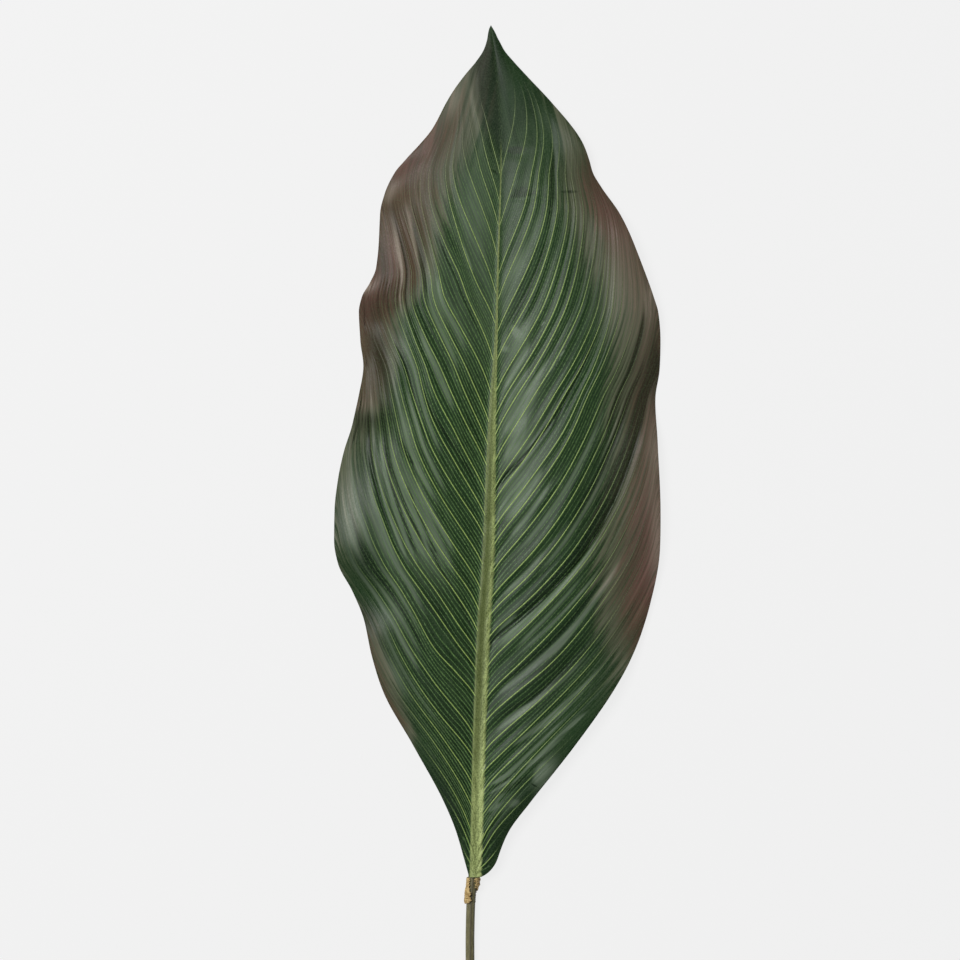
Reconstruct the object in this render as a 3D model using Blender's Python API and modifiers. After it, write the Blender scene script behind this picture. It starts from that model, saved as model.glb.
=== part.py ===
"""Canna leaf, cut with a length of its stalk and lying on a flat surface, upper face up.

Metres, +Z up. The tip points to +Y. The origin is at the middle of the leaf's outline, on the
surface that it lies on. The blade's own measures are in millimetres, counted from its base.
"""

import bmesh
import bpy
import numpy as np

MM = 0.001

# Where the blade's base lies, and how long the blade is.
BASE = (-0.5, -184.25)
BLADE_LENGTH = 512.4

# Width of the blade left and right of its midrib, as (along, half-width).
HALF_LEFT = (
    (0, 3.9), (11, 7.2), (28, 12.6), (45, 20.1), (79, 39.5), (112, 59), (133, 66.4), (154, 72),
    (171, 80.4), (188, 89.9), (202, 92.8), (221, 93.2), (238, 91.8), (255, 88.9), (272, 84),
    (289, 80.5), (305, 78.7), (322, 81.6), (339, 83), (348, 81), (356, 76.5), (365, 73),
    (381, 71.9), (398, 71.8), (411, 69.5), (423, 64), (431, 57), (440, 48.5), (448, 41.8),
    (465, 32.1), (473, 26.7), (482, 19.4), (490, 12), (497, 6.6), (502.2, 4), (504.6, 3.1),
    (507, 2.4), (509.5, 1.5), (512.4, 0),
)
HALF_RIGHT = (
    (0, 3.6), (1.2, 5.9), (2.6, 7.7), (5, 9.9), (9, 12.3), (15, 14.3), (22, 16.8), (28, 19.6),
    (45, 31.8), (79, 57.7), (112, 79.6), (129, 88.6),
    (146, 95.1), (163, 99.2), (196, 102.9), (221, 102.4), (263, 99.6), (288, 97.9), (305, 99.5),
    (322, 99), (339, 97), (347, 94.4), (364, 87.8), (398, 72.2), (415, 60.4), (423, 55.4),
    (431, 52.8), (440, 49.3), (465, 31.5), (482, 17.2), (490, 10.8), (497, 6), (502.2, 4),
    (504.6, 3.1), (507, 2.4), (509.5, 1.5), (512.4, 0),
)
# Sideways bend of the midrib, as (along, x from the middle of the leaf).
MIDRIB_X = (
    (0, -12.8), (46, -11.6), (70, -11), (112, -9.5), (154, -7.7), (178, -5.9), (202, -4.7),
    (250, -3.5), (286, -2.3), (322, -0.5), (370, 0.7), (406, 1.9), (430, 2.5), (454, 2.2),
    (478, 0.7), (490, -0.5), (511, -3.5),
)

# Side veins, by the place on the midrib that they leave from, as parts of the blade's length.
VEINS_LEFT = (
    0.005, 0.014, 0.035, 0.07, 0.10, 0.137, 0.163, 0.213, 0.243, 0.263, 0.287, 0.312, 0.337,
    0.369, 0.404, 0.428, 0.455, 0.488, 0.513, 0.54, 0.577, 0.616, 0.662, 0.697, 0.741, 0.777, 0.807, 0.838,
    0.885, 0.93,
)
VEINS_RIGHT = (
    0.005, 0.014, 0.028, 0.065, 0.096, 0.122, 0.147, 0.183, 0.211, 0.25, 0.285, 0.311, 0.331, 0.362, 0.394,
    0.414, 0.446, 0.462, 0.493, 0.525, 0.548, 0.578, 0.618, 0.652, 0.69, 0.72, 0.778, 0.84,
    0.89, 0.94,
)
# How far each vein climbs towards the tip on its way to the margin, both as parts of the length.
VEIN_CLIMB = (
    (0, 0), (0.02, 0.15), (0.07, 0.25), (0.12, 0.31), (0.25, 0.335), (0.35, 0.37), (0.45, 0.365),
    (0.55, 0.335), (0.65, 0.275), (0.75, 0.2), (0.85, 0.13), (0.93, 0.06), (1, 0),
)
CLIMB_END = 0.985
# How far a vein runs alongside the midrib before it turns out.
VEIN_TUCK = ((0, 0), (0.04, 0.018), (0.85, 0.018), (1, 0))
# How far each vein strays from that climb, as (start, at 1/4, 1/2 and 3/4 of the way out, and at
# the margin), all as parts of the length.
BENDS_LEFT = (
    (0, 0, 0, 0, 0), (0.05, -0.008, -0.012, -0.01, 0), (0.10, -0.012, -0.024, -0.026, -0.01),
    (0.137, -0.016, -0.031, -0.032, -0.01), (0.163, -0.009, -0.019, -0.02, 0.01),
    (0.213, -0.012, -0.021, 0.014, 0.035), (0.243, -0.005, 0.002, 0.034, 0.045),
    (0.263, -0.003, 0.01, 0.033, 0.04), (0.287, 0.002, 0.012, 0.024, 0.03),
    (0.312, 0, 0.004, 0.009, 0.015), (0.337, -0.002, -0.005, -0.004, 0),
    (0.369, -0.008, -0.016, -0.02, -0.01), (0.404, -0.015, -0.03, -0.034, 0),
    (0.428, -0.014, -0.033, -0.012, 0.01), (0.455, -0.015, -0.038, -0.018, 0),
    (0.488, -0.021, -0.038, -0.03, -0.01), (0.513, -0.018, -0.027, -0.028, -0.01),
    (0.54, -0.019, -0.03, -0.02, 0), (0.577, -0.022, -0.04, -0.012, 0),
    (0.616, -0.012, -0.03, -0.01, 0), (0.662, -0.021, -0.004, 0, 0),
    (0.697, -0.008, -0.006, 0, 0), (0.741, 0.004, -0.01, -0.008, 0), (0.8, 0.003, -0.006, 0, 0),
    (1, 0, 0, 0, 0),
)
BENDS_RIGHT = (
    (0, 0, 0, 0, 0), (0.028, 0, 0, 0.004, 0.016), (0.065, -0.009, -0.016, -0.012, 0),
    (0.096, -0.011, -0.023, -0.026, -0.008), (0.122, -0.015, -0.026, -0.026, -0.006),
    (0.147, -0.012, -0.023, -0.019, 0.01), (0.183, -0.009, -0.018, -0.009, 0.006),
    (0.211, -0.002, 0.001, 0.011, 0.022), (0.25, 0, 0.004, 0.011, 0.018),
    (0.272, -0.009, -0.011, -0.008, 0.004), (0.311, -0.011, -0.013, -0.004, 0.02),
    (0.345, -0.011, -0.015, -0.004, 0.033), (0.394, -0.014, -0.021, 0.009, 0.045),
    (0.414, -0.017, -0.026, 0.013, 0.04), (0.446, -0.02, -0.025, -0.007, 0.02),
    (0.493, -0.012, -0.012, -0.008, 0), (0.54, -0.01, -0.008, 0.006, 0.01),
    (0.618, -0.01, -0.003, 0.005, 0.01), (0.66, -0.003, 0.004, 0.008, 0.01),
    (0.72, 0.006, 0.016, 0.016, 0.01), (0.8, 0.009, 0.01, 0.008, 0), (0.9, 0.004, 0.004, 0, 0),
    (1, 0, 0, 0, 0),
)
BEND_PLACES = (0, 0.25, 0.5, 0.75, 1)
VEIN_HEIGHT = 0.25

# Height of the upper face over the resting surface at nine places across, from the left margin
# (-1) over the midrib (0) to the right margin (1), for each station along the blade.
ACROSS = (-1, -0.75, -0.5, -0.25, 0, 0.2, 0.45, 0.75, 1)
SECTIONS = (
    (0, (7.6, 7.8, 8, 8, 8, 8, 8, 7.8, 7.6)),
    (40, (9, 9.9, 10, 9.4, 8.2, 9.6, 10.6, 10.4, 9.4)),
    (100, (7.5, 10.6, 11.4, 9.8, 7, 9.8, 11.4, 10, 8)),
    (170, (5.5, 11, 12.6, 10.4, 6.4, 10.2, 12, 8, 4.5)),
    (240, (4, 11, 13.4, 10.6, 6, 10.2, 12.6, 7, 3)),
    (310, (4, 10.8, 13.2, 10.6, 6.4, 10, 12.6, 9.5, 4)),
    (380, (5.4, 10, 12, 10.8, 8, 10.4, 12, 10.4, 7)),
    (440, (5.4, 7.4, 8.6, 8.5, 7.6, 8.1, 8.3, 7.5, 5.9)),
    (485, (3.2, 4, 4.4, 4.4, 4, 4.2, 4.2, 3.8, 3.2)),
    (511, (0.8, 0.8, 0.8, 0.8, 0.8, 0.8, 0.8, 0.8, 0.8)),
)
# Waves of the two margins, as (along, lift); the lift fades towards the middle of each half.
WAVE_LEFT = (
    (0, 0), (60, 0), (100, 1), (146, 3), (168, -2.5), (198, 7), (232, 2), (264, -3.6), (284, 8),
    (307, 6), (333, -3.6), (352, 7.5), (373, 4), (399, 1), (414, -4.5), (436, 2), (470, 1),
    (511, 0),
)
WAVE_RIGHT = (
    (0, 0), (60, 0), (110, 2), (152, -1), (225, 6), (258, 5), (292, -3.6), (335, 1.5), (385, 4),
    (415, -3), (440, 3), (470, 0), (511, 0),
)
WAVE_FROM = 0.55
# Pleats that run along the veins, as (where the vein starts, height).
PLEATS_LEFT = (
    (0, 0), (0.05, 0.2), (0.08, 0), (0.11, 0.3), (0.14, 0), (0.18, 0.3), (0.21, 0), (0.245, 0.4),
    (0.278, -0.7), (0.31, 0.3), (0.335, -0.1), (0.37, 0.3), (0.41, 0), (0.45, 0.3), (0.49, 0),
    (0.53, 0.3), (0.57, 0), (0.62, 0.3), (0.66, 0), (0.72, 0.2), (0.78, 0), (0.86, 0.1), (1, 0),
)
PLEATS_RIGHT = (
    (0, 0), (0.05, 0.25), (0.065, 0), (0.085, 0.3), (0.105, -0.2), (0.125, 0.4), (0.157, -0.2),
    (0.178, 0.35), (0.2, -0.1), (0.25, 0.55), (0.27, -0.6), (0.3, -0.25), (0.318, -0.2),
    (0.335, 0.3), (0.36, -0.2), (0.4, 0.3), (0.438, -0.3), (0.478, 0.2), (0.51, 0), (0.54, 0.15),
    (0.57, 0), (0.61, 0.15), (0.64, 0), (0.68, 0.15), (0.72, 0), (0.8, 0.1), (1, 0),
)
# Folds across the pleats: middle x and along, heading in degrees, half-length, half-width, height.
FOLDS = (
    (-58.5, 268, 106, 26, 5, 1.4),
    (-75.5, 312, 92, 26, 5, 1.6),
    (-65.5, 312, 94, 28, 5, -1.3),
    (-58, 385, 110, 26, 4.5, 1.0),
    (14, 324, 50, 10, 5, 1.1),
    (18, 290, 48, 12, 5, 1.2),
    (13, 266, 55, 14, 5, 1.2),
    (26, 226, 50, 12, 5, 1.1),
    (29, 63, 60, 10, 6, 1.0),
)

# The lamina, the midrib on it and the keel under it.
LAMINA = 0.8
RIB_HALF_WIDTH = (
    (0, 3.6), (154, 4.1), (226, 3.3), (274, 2.4), (298, 1.8), (322, 1.3), (346, 1), (406, 0.7),
    (511, 0.4),
)
RIB_HEIGHT = (
    (0, 1.3), (150, 1.5), (250, 1.2), (300, 0.8), (360, 0.4), (420, 0), (511, 0),
)
RIB_CHANNEL = ((0, 0.2), (30, 0.5), (80, 0.75), (150, 0.7), (200, 0.45), (260, 0.3), (511, 0))
KEEL_UNDERSIDE = (
    (0, 6.55), (22, 6.55), (31, 2.5), (40, 0), (262, 0), (310, 0.8), (350, 3.2), (400, 6),
    (440, 5.6), (485, 2.4), (511, 0),
)
KEEL_FLAT = 0.55

# Mesh of the blade: columns between two veins, and rows from the midrib's edge to the margin.
COLUMNS_PER_VEIN = 3
RIB_ROWS = (0, 0.5, 1)
LAMINA_ROWS = (0.08, 0.18, 0.3, 0.43, 0.57, 0.7, 0.82, 0.92, 1)

# The stalk: its middle line as (x from the blade's base, along, height), and its round.
STEM_RADIUS = 2.65
STEM_PATH = (
    (-1.3, -143.8, 2.65), (-2.3, -110, 2.65), (-3.1, -70, 2.65), (-3.3, -40, 2.8),
    (-3.1, -26, 3.4), (-2.8, -17, 3.75), (-1.8, -3, 3.75), (-1, 8, 3.75), (-0.4, 18, 3.5),
)
STEM_TAPER_FROM, STEM_TAPER_TO = 6, 0.7
STEM_GROOVE = 0.45
STEM_SIDES = 16
STEM_GROOVE_SIDE = 12
STEM_RINGS = 34

# The torn brown wrap round the top of the stalk.
WRAP_GAP = 0.4
WRAP_THICKNESS = 0.6
WRAP_FROM, WRAP_TO = -16.4, -0.9
# Height of its torn edge round each side, in degrees over the level, and how far it stands off.
WRAP_LEFT = (
    (-16.4, 24, 0.2), (-15.6, 66, 0.7), (-14.2, 84, 1.2), (-12.6, 76, 0.8), (-11, 86, 1.3),
    (-9.2, 80, 1.1), (-7.6, 72, 0.6), (-6.4, 64, 0.3), (-4, 62, 0.2), (-0.9, 64, 0.3),
)
WRAP_RIGHT = (
    (-16.4, -50, 0), (-9.4, -30, 0.1), (-7.6, 30, 0.3), (-6.6, 56, 0.6), (-5, 68, 1.2),
    (-3.4, 62, 0.9), (-2.2, 70, 1.3), (-0.9, 66, 1),
)
WRAP_COLUMNS, WRAP_ROWS = 15, 12


def through(points, at):
    """Value of the smooth curve through the points, which never overshoots them."""
    x, y = np.array(points, float).T
    run = np.diff(x)
    slope = np.diff(y) / run
    tangent = np.zeros_like(y)
    tangent[0], tangent[-1] = slope[0], slope[-1]
    same_way = slope[1:] * slope[:-1] > 0
    weight_a = run[:-1] + 2 * run[1:]
    weight_b = 2 * run[:-1] + run[1:]
    flat_safe = np.where(same_way, slope[:-1] * slope[1:], 1)
    mean = (weight_a + weight_b) * flat_safe / np.where(
        same_way, weight_a * slope[1:] + weight_b * slope[:-1], 1
    )
    tangent[1:-1] = np.where(same_way, mean, 0)
    at = np.clip(at, x[0], x[-1])
    i = np.clip(np.searchsorted(x, at, "right") - 1, 0, len(run) - 1)
    t = (at - x[i]) / run[i]
    rise = y[i] * (1 + 2 * t) * (1 - t) ** 2 + y[i + 1] * t * t * (3 - 2 * t)
    return rise + run[i] * (tangent[i] * t * (1 - t) ** 2 + tangent[i + 1] * t * t * (t - 1))


def ease(low, high, at):
    """0 below low, 1 above high, and a smooth step between."""
    t = np.clip((at - low) / (high - low), 0, 1)
    return t * t * (3 - 2 * t)


def half_width(along, side):
    return through(HALF_LEFT if side < 0 else HALF_RIGHT, along)


def between(places, lines, at):
    """Smooth value at a place between lines, one of which is given for each of the places."""
    places = np.array(places, float)
    last = len(places) - 1
    i = np.clip(np.searchsorted(places, at, "right") - 1, 0, last - 1)

    def line(k):
        return np.take_along_axis(lines, np.clip(k, 0, last)[None], 0)[0]

    def place(k):
        return places[np.clip(k, 0, last)]

    run = place(i + 1) - place(i)
    t = (at - place(i)) / run
    slope_a = (line(i + 1) - line(i - 1)) / (place(i + 1) - place(i - 1))
    slope_b = (line(i + 2) - line(i)) / (place(i + 2) - place(i))
    rise = line(i) * (1 + 2 * t) * (1 - t) ** 2 + line(i + 1) * t * t * (3 - 2 * t)
    return rise + run * (slope_a * t * (1 - t) ** 2 + slope_b * t * t * (t - 1))


def vein_bend(start, out, side):
    rows = np.array(BENDS_LEFT if side < 0 else BENDS_RIGHT)
    start, out = np.broadcast_arrays(start, out)
    lines = [through(rows[:, (0, k)], start) for k in range(1, rows.shape[1])]
    return between(BEND_PLACES, np.stack([np.zeros_like(start), *lines]), np.minimum(out, 1))


def on_vein(start, out, side):
    """Place (x, along) of the point `out` of the way from midrib to margin, on the vein that
    leaves the midrib at `start`."""
    bow = 0.55 + 2.3 * np.maximum(0, start - 0.25)
    climb = through(VEIN_CLIMB, start) * (1 - (1 - np.minimum(out, CLIMB_END) ** 1.12) ** bow)
    along = start + climb + vein_bend(start, out, side)
    along = np.clip(along - through(VEIN_TUCK, start) * np.exp(-out / 0.05), 0, 1) * BLADE_LENGTH
    return through(MIDRIB_X, along) + side * out * half_width(along, side), along


def section_height(along, across):
    """Height of the smooth skin stretched over the sections."""
    stations = [station for station, _ in SECTIONS]
    columns = [[heights[k] for _, heights in SECTIONS] for k in range(len(ACROSS))]
    lines = [through(list(zip(stations, column)), along) for column in columns]
    return between(ACROSS, np.stack(lines), across)


def fold_height(x, along):
    """Sum of the folds, each a long soft swelling."""
    total = np.zeros_like(x)
    for middle_x, middle, heading, half_length, half_across, high in FOLDS:
        turn = np.radians(heading)
        dx, dy = x - middle_x, along - middle
        lengthwise = (dx * np.cos(turn) + dy * np.sin(turn)) / half_length
        crosswise = (dy * np.cos(turn) - dx * np.sin(turn)) / half_across
        total = total + high * np.exp(-(lengthwise**2) - crosswise**2)
    return total


def lamina_top(start, out, side):
    """(x, along, height) of the lamina's upper face, without the midrib."""
    x, along = on_vein(start, out, side)
    left = side < 0
    high = section_height(along, side * out)
    high = high + through(WAVE_LEFT if left else WAVE_RIGHT, along) * ease(WAVE_FROM, 1, out) ** 1.2
    body = ease(0, 0.14, out) * (1 - 0.7 * ease(0.55, 1, out))
    high = high + through(PLEATS_LEFT if left else PLEATS_RIGHT, start) * body
    veins = (0, *(VEINS_LEFT if left else VEINS_RIGHT), 1)
    count = np.interp(start, veins, np.arange(len(veins)))
    near = np.cos(2 * np.pi * count)
    fade = ease(0, 0.1, out) * (1 - ease(0.5, 0.95, out)) * (1 - ease(0.7, 0.95, start))
    high = high + VEIN_HEIGHT * 0.5 * near * fade
    high = high + fold_height(x, along)
    return x, along, np.maximum(high, LAMINA)


def blade_faces(start, out, side):
    """Upper and lower face of one half of the blade, midrib and keel included."""
    x, along, top = lamina_top(start, out, side)
    width = through(RIB_HALF_WIDTH, along)
    from_rib = out * half_width(along, side) / width
    round_top = np.maximum(0, 1 - from_rib**2)
    channel = 1 - through(RIB_CHANNEL, along) * round_top**2
    under = top - LAMINA
    keel = 1 - ease(KEEL_FLAT, 1.1, from_rib)
    under = under + (np.minimum(through(KEEL_UNDERSIDE, along), under) - under) * keel
    top = top + through(RIB_HEIGHT, along) * round_top * channel
    return x, along, top, under


def grid_places(side):
    """Start on the midrib and way out to the margin for each vertex of one half."""
    veins = (0, *(VEINS_LEFT if side < 0 else VEINS_RIGHT), 1)
    count = (len(veins) - 1) * COLUMNS_PER_VEIN
    steps = np.arange(count) / COLUMNS_PER_VEIN
    starts = np.interp(steps, np.arange(len(veins)), veins)
    both = 0.5 * (
        np.interp(steps, np.arange(len(veins)), (0, *VEINS_LEFT, 1))
        + np.interp(steps, np.arange(len(veins)), (0, *VEINS_RIGHT, 1))
    )
    along = starts * BLADE_LENGTH
    rib = np.minimum(through(RIB_HALF_WIDTH, along) / half_width(along, side), 0.9)
    outs = [rib * row for row in RIB_ROWS] + [rib + (1 - rib) * row for row in LAMINA_ROWS]
    starts_of_rows = [both] + [starts] * (len(outs) - 1)
    return np.stack(starts_of_rows), np.stack(outs)


def add_material(piece, name, colour, roughness):
    material = bpy.data.materials.new(name)
    material.use_nodes = True
    shader = material.node_tree.nodes["Principled BSDF"]
    shader.inputs["Base Color"].default_value = (*colour, 1)
    shader.inputs["Roughness"].default_value = roughness
    shader.inputs["Metallic"].default_value = 0
    material.diffuse_color = (*colour, 1)
    piece.data.materials.append(material)


def object_from(mesh_or_curve, name, collection):
    piece = bpy.data.objects.new(name, mesh_or_curve)
    collection.objects.link(piece)
    return piece


def mesh_from(bm, name, sharp_degrees):
    bmesh.ops.recalc_face_normals(bm, faces=bm.faces)
    mesh = bpy.data.meshes.new(name)
    bm.to_mesh(mesh)
    bm.free()
    mesh.shade_smooth()
    mesh.set_sharp_from_angle(angle=np.radians(sharp_degrees))
    return mesh


def make_blade(collection):
    """One closed solid: two faces with the same triangles, joined round the margin."""
    bm = bmesh.new()
    halves = {}
    for side in (-1, 1):
        x, along, top, under = blade_faces(*grid_places(side), side)
        halves[side] = x + BASE[0], along + BASE[1], top, under
    rows, columns = halves[1][0].shape

    def vertices(level, side):
        x, y = halves[side][:2]
        z = halves[side][level]
        first = 0 if side < 0 else 1
        return [
            [bm.verts.new((x[r, c] * MM, y[r, c] * MM, z[r, c] * MM)) for c in range(columns)]
            for r in range(first, rows)
        ]

    tip_x = through(MIDRIB_X, BLADE_LENGTH) + BASE[0]
    tip_y = BLADE_LENGTH + BASE[1]
    sheets = []
    for level, tip_z in ((2, LAMINA), (3, 0)):
        left, right = vertices(level, -1), vertices(level, 1)
        tip = bm.verts.new((tip_x * MM, tip_y * MM, tip_z * MM))
        strips = [row + [tip] for row in left[::-1] + right]
        for a, b in zip(strips, strips[1:]):
            for c in range(columns):
                corners = (a[c], b[c], b[c + 1], a[c + 1])
                bm.faces.new(corners[:3])
                if c < columns - 1:
                    bm.faces.new((corners[0], corners[2], corners[3]))
        sheets.append(strips)
    upper, lower = sheets
    edges = (
        (upper[0], lower[0]),
        (upper[-1], lower[-1]),
        ([row[0] for row in upper], [row[0] for row in lower]),
    )
    for over, beneath in edges:
        for i in range(len(over) - 1):
            bm.faces.new((over[i], over[i + 1], beneath[i + 1]))
            bm.faces.new((over[i], beneath[i + 1], beneath[i]))
    blade = object_from(mesh_from(bm, "leaf_blade", 40), "leaf_blade", collection)
    add_material(blade, "leaf green", (0.035, 0.085, 0.045), 0.5)
    return blade


def stem_middle(steps):
    """Points and widths along the stalk's middle line, from its cut end to under the blade."""
    path = np.array(STEM_PATH, float)
    along = np.linspace(path[0, 1], path[-1, 1], steps)
    x = through(path[:, (1, 0)], along)
    z = through(path[:, (1, 2)], along)
    taper = 1 - (1 - STEM_TAPER_TO) * ease(STEM_TAPER_FROM, path[-1, 1], along)
    return np.column_stack([x, along, z]), taper


def stem_outline(guides):
    """Round section with one groove along its upper side, as a guide curve."""
    outline = bpy.data.curves.new("stem_outline", "CURVE")
    spline = outline.splines.new("POLY")
    spline.points.add(STEM_SIDES - 1)
    for i in range(STEM_SIDES):
        turn = -2 * np.pi * i / STEM_SIDES
        radius = STEM_RADIUS - (STEM_GROOVE if i == STEM_GROOVE_SIDE else 0)
        spline.points[i].co = (radius * MM * np.cos(turn), radius * MM * np.sin(turn), 0, 1)
    spline.use_cyclic_u = True
    guide = object_from(outline, "stem_outline", guides)
    guide.hide_render = True
    guide.display_type = "WIRE"
    return guide


def make_stem(collection, guides):
    curve = bpy.data.curves.new("stem", "CURVE")
    curve.dimensions = "3D"
    curve.twist_mode = "Z_UP"
    curve.bevel_mode = "OBJECT"
    curve.bevel_object = stem_outline(guides)
    curve.use_fill_caps = True
    spline = curve.splines.new("POLY")
    spline.points.add(STEM_RINGS - 1)
    origin = BASE[0] + through(MIDRIB_X, 0.0)
    for point, (x, along, z), width in zip(spline.points, *stem_middle(STEM_RINGS)):
        point.co = ((x + origin) * MM, (along + BASE[1]) * MM, z * MM, 1)
        point.radius = width
    stem = object_from(curve, "stem", collection)
    add_material(stem, "stalk olive", (0.12, 0.11, 0.05), 0.6)
    return stem


def torn_edge(edge, along):
    """Angle over the level and stand-off of a torn edge at a place along the stalk."""
    places, angles, offs = np.array(edge, float).T
    return np.interp(along, places, angles), np.interp(along, places, offs)


def make_wrap(collection):
    """A thin torn sheet bent round the underside and the sides of the stalk."""
    bm = bmesh.new()
    path = np.array(STEM_PATH, float)
    origin = BASE[0] + through(MIDRIB_X, 0.0)
    rows = []
    for along in np.linspace(WRAP_FROM, WRAP_TO, WRAP_ROWS):
        middle_x = through(path[:, (1, 0)], along) + origin
        middle_z = through(path[:, (1, 2)], along)
        row = []
        for k in range(WRAP_COLUMNS):
            part = k / (WRAP_COLUMNS - 1)
            edge_left, off_left = torn_edge(WRAP_LEFT, along)
            edge_right, off_right = torn_edge(WRAP_RIGHT, along)
            turn = np.radians((180 - edge_left) * (1 - part) + (360 + edge_right) * part)
            off = off_left * (1 - ease(0.2, 0.5, part)) + off_right * ease(0.5, 0.8, part)
            radius = STEM_RADIUS + WRAP_GAP + off
            x = middle_x + radius * np.cos(turn)
            z = middle_z + radius * np.sin(turn)
            row.append(bm.verts.new((x * MM, (along + BASE[1]) * MM, z * MM)))
        rows.append(row)
    for a, b in zip(rows, rows[1:]):
        for k in range(WRAP_COLUMNS - 1):
            bm.faces.new((a[k], a[k + 1], b[k + 1], b[k]))
    wrap = object_from(mesh_from(bm, "torn_wrap", 60), "torn_wrap", collection)
    wall = wrap.modifiers.new("wall", "SOLIDIFY")
    wall.thickness = WRAP_THICKNESS * MM
    wall.offset = -1
    add_material(wrap, "dry brown", (0.16, 0.09, 0.035), 0.75)
    return wrap


def clear_scene():
    for piece in list(bpy.data.objects):
        bpy.data.objects.remove(piece, do_unlink=True)


def main():
    clear_scene()
    leaf = bpy.data.collections.new("canna_leaf")
    guides = bpy.data.collections.new("guides")
    for collection in (leaf, guides):
        bpy.context.scene.collection.children.link(collection)
    make_blade(leaf)
    make_stem(leaf, guides)
    make_wrap(leaf)


main()
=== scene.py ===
"""Looks of the canna leaf: waved blade with its veins, stalk and torn wrap, on a pale table.

Metres, +Z up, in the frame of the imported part. The blade's own measures are in millimetres,
counted from its base along the leaf, and from the middle of the leaf across it.
"""

import bpy
import numpy as np
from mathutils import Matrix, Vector


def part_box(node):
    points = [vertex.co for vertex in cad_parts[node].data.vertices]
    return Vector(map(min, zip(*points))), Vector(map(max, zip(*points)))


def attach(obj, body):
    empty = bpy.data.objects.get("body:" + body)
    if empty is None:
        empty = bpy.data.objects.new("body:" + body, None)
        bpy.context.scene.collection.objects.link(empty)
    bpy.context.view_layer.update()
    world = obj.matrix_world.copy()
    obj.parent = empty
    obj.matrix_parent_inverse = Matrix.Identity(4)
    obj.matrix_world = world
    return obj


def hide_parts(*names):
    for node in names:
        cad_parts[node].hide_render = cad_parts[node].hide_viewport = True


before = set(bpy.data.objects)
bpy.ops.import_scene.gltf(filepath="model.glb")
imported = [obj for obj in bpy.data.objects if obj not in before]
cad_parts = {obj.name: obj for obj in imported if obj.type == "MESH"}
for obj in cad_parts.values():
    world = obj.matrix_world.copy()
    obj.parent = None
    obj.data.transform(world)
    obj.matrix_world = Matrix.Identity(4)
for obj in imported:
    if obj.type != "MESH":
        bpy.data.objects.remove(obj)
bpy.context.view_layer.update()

MM = 0.001

# Where the blade's base lies, and how long the blade is.
blade_low, blade_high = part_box("leaf_blade")
BASE = (-0.5, blade_low.y / MM)
BLADE_LENGTH = (blade_high.y - blade_low.y) / MM

# Width of the blade left and right of its midrib, as (along, half-width).
HALF_LEFT = (
    (0, 3.9), (11, 7.2), (28, 12.6), (45, 20.1), (79, 39.5), (112, 59), (133, 66.4), (154, 72),
    (171, 80.4), (188, 89.9), (202, 92.8), (221, 93.2), (238, 91.8), (255, 88.9), (272, 84),
    (289, 80.5), (305, 78.7), (322, 81.6), (339, 83), (348, 81), (356, 76.5), (365, 73),
    (381, 71.9), (398, 71.8), (411, 69.5), (423, 64), (431, 57), (440, 48.5), (448, 41.8),
    (465, 32.1), (473, 26.7), (482, 19.4), (490, 12), (497, 6.6), (502.2, 4), (504.6, 3.1),
    (507, 2.4), (509.5, 1.5), (512.4, 0),
)
HALF_RIGHT = (
    (0, 3.6), (1.2, 5.9), (2.6, 7.7), (5, 9.9), (9, 12.3), (15, 14.3), (22, 16.8), (28, 19.6),
    (45, 31.8), (79, 57.7), (112, 79.6), (129, 88.6),
    (146, 95.1), (163, 99.2), (196, 102.9), (221, 102.4), (263, 99.6), (288, 97.9), (305, 99.5),
    (322, 99), (339, 97), (347, 94.4), (364, 87.8), (398, 72.2), (415, 60.4), (423, 55.4),
    (431, 52.8), (440, 49.3), (465, 31.5), (482, 17.2), (490, 10.8), (497, 6), (502.2, 4),
    (504.6, 3.1), (507, 2.4), (509.5, 1.5), (512.4, 0),
)
# Sideways bend of the midrib, as (along, x from the middle of the leaf).
MIDRIB_X = (
    (0, -12.8), (46, -11.6), (70, -11), (112, -9.5), (154, -7.7), (178, -5.9), (202, -4.7),
    (250, -3.5), (286, -2.3), (322, -0.5), (370, 0.7), (406, 1.9), (430, 2.5), (454, 2.2),
    (478, 0.7), (490, -0.5), (511, -3.5),
)

# Side veins, by the place on the midrib that they leave from, as parts of the blade's length.
VEINS_LEFT = (
    0.005, 0.014, 0.035, 0.07, 0.10, 0.137, 0.163, 0.213, 0.243, 0.263, 0.287, 0.312, 0.337,
    0.369, 0.404, 0.428, 0.455, 0.488, 0.513, 0.54, 0.577, 0.616, 0.662, 0.697, 0.741, 0.777, 0.807, 0.838,
    0.885, 0.93,
)
VEINS_RIGHT = (
    0.005, 0.014, 0.028, 0.065, 0.096, 0.122, 0.147, 0.183, 0.211, 0.25, 0.285, 0.311, 0.331, 0.362, 0.394,
    0.414, 0.446, 0.462, 0.493, 0.525, 0.548, 0.578, 0.618, 0.652, 0.69, 0.72, 0.778, 0.84,
    0.89, 0.94,
)
# How far each vein climbs towards the tip on its way to the margin, both as parts of the length.
VEIN_CLIMB = (
    (0, 0), (0.02, 0.15), (0.07, 0.25), (0.12, 0.31), (0.25, 0.335), (0.35, 0.37), (0.45, 0.365),
    (0.55, 0.335), (0.65, 0.275), (0.75, 0.2), (0.85, 0.13), (0.93, 0.06), (1, 0),
)
CLIMB_END = 0.985
# How a vein bows on its way out, and how much more so where it starts nearer the tip.
VEIN_TURN = 1.12
VEIN_BOW, VEIN_BOW_GAIN, VEIN_BOW_FROM = 0.55, 2.3, 0.25
# How far a vein runs alongside the midrib before it turns out, and how far out that ends.
VEIN_TUCK = ((0, 0), (0.04, 0.018), (0.85, 0.018), (1, 0))
TUCK_REACH = 0.05
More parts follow.
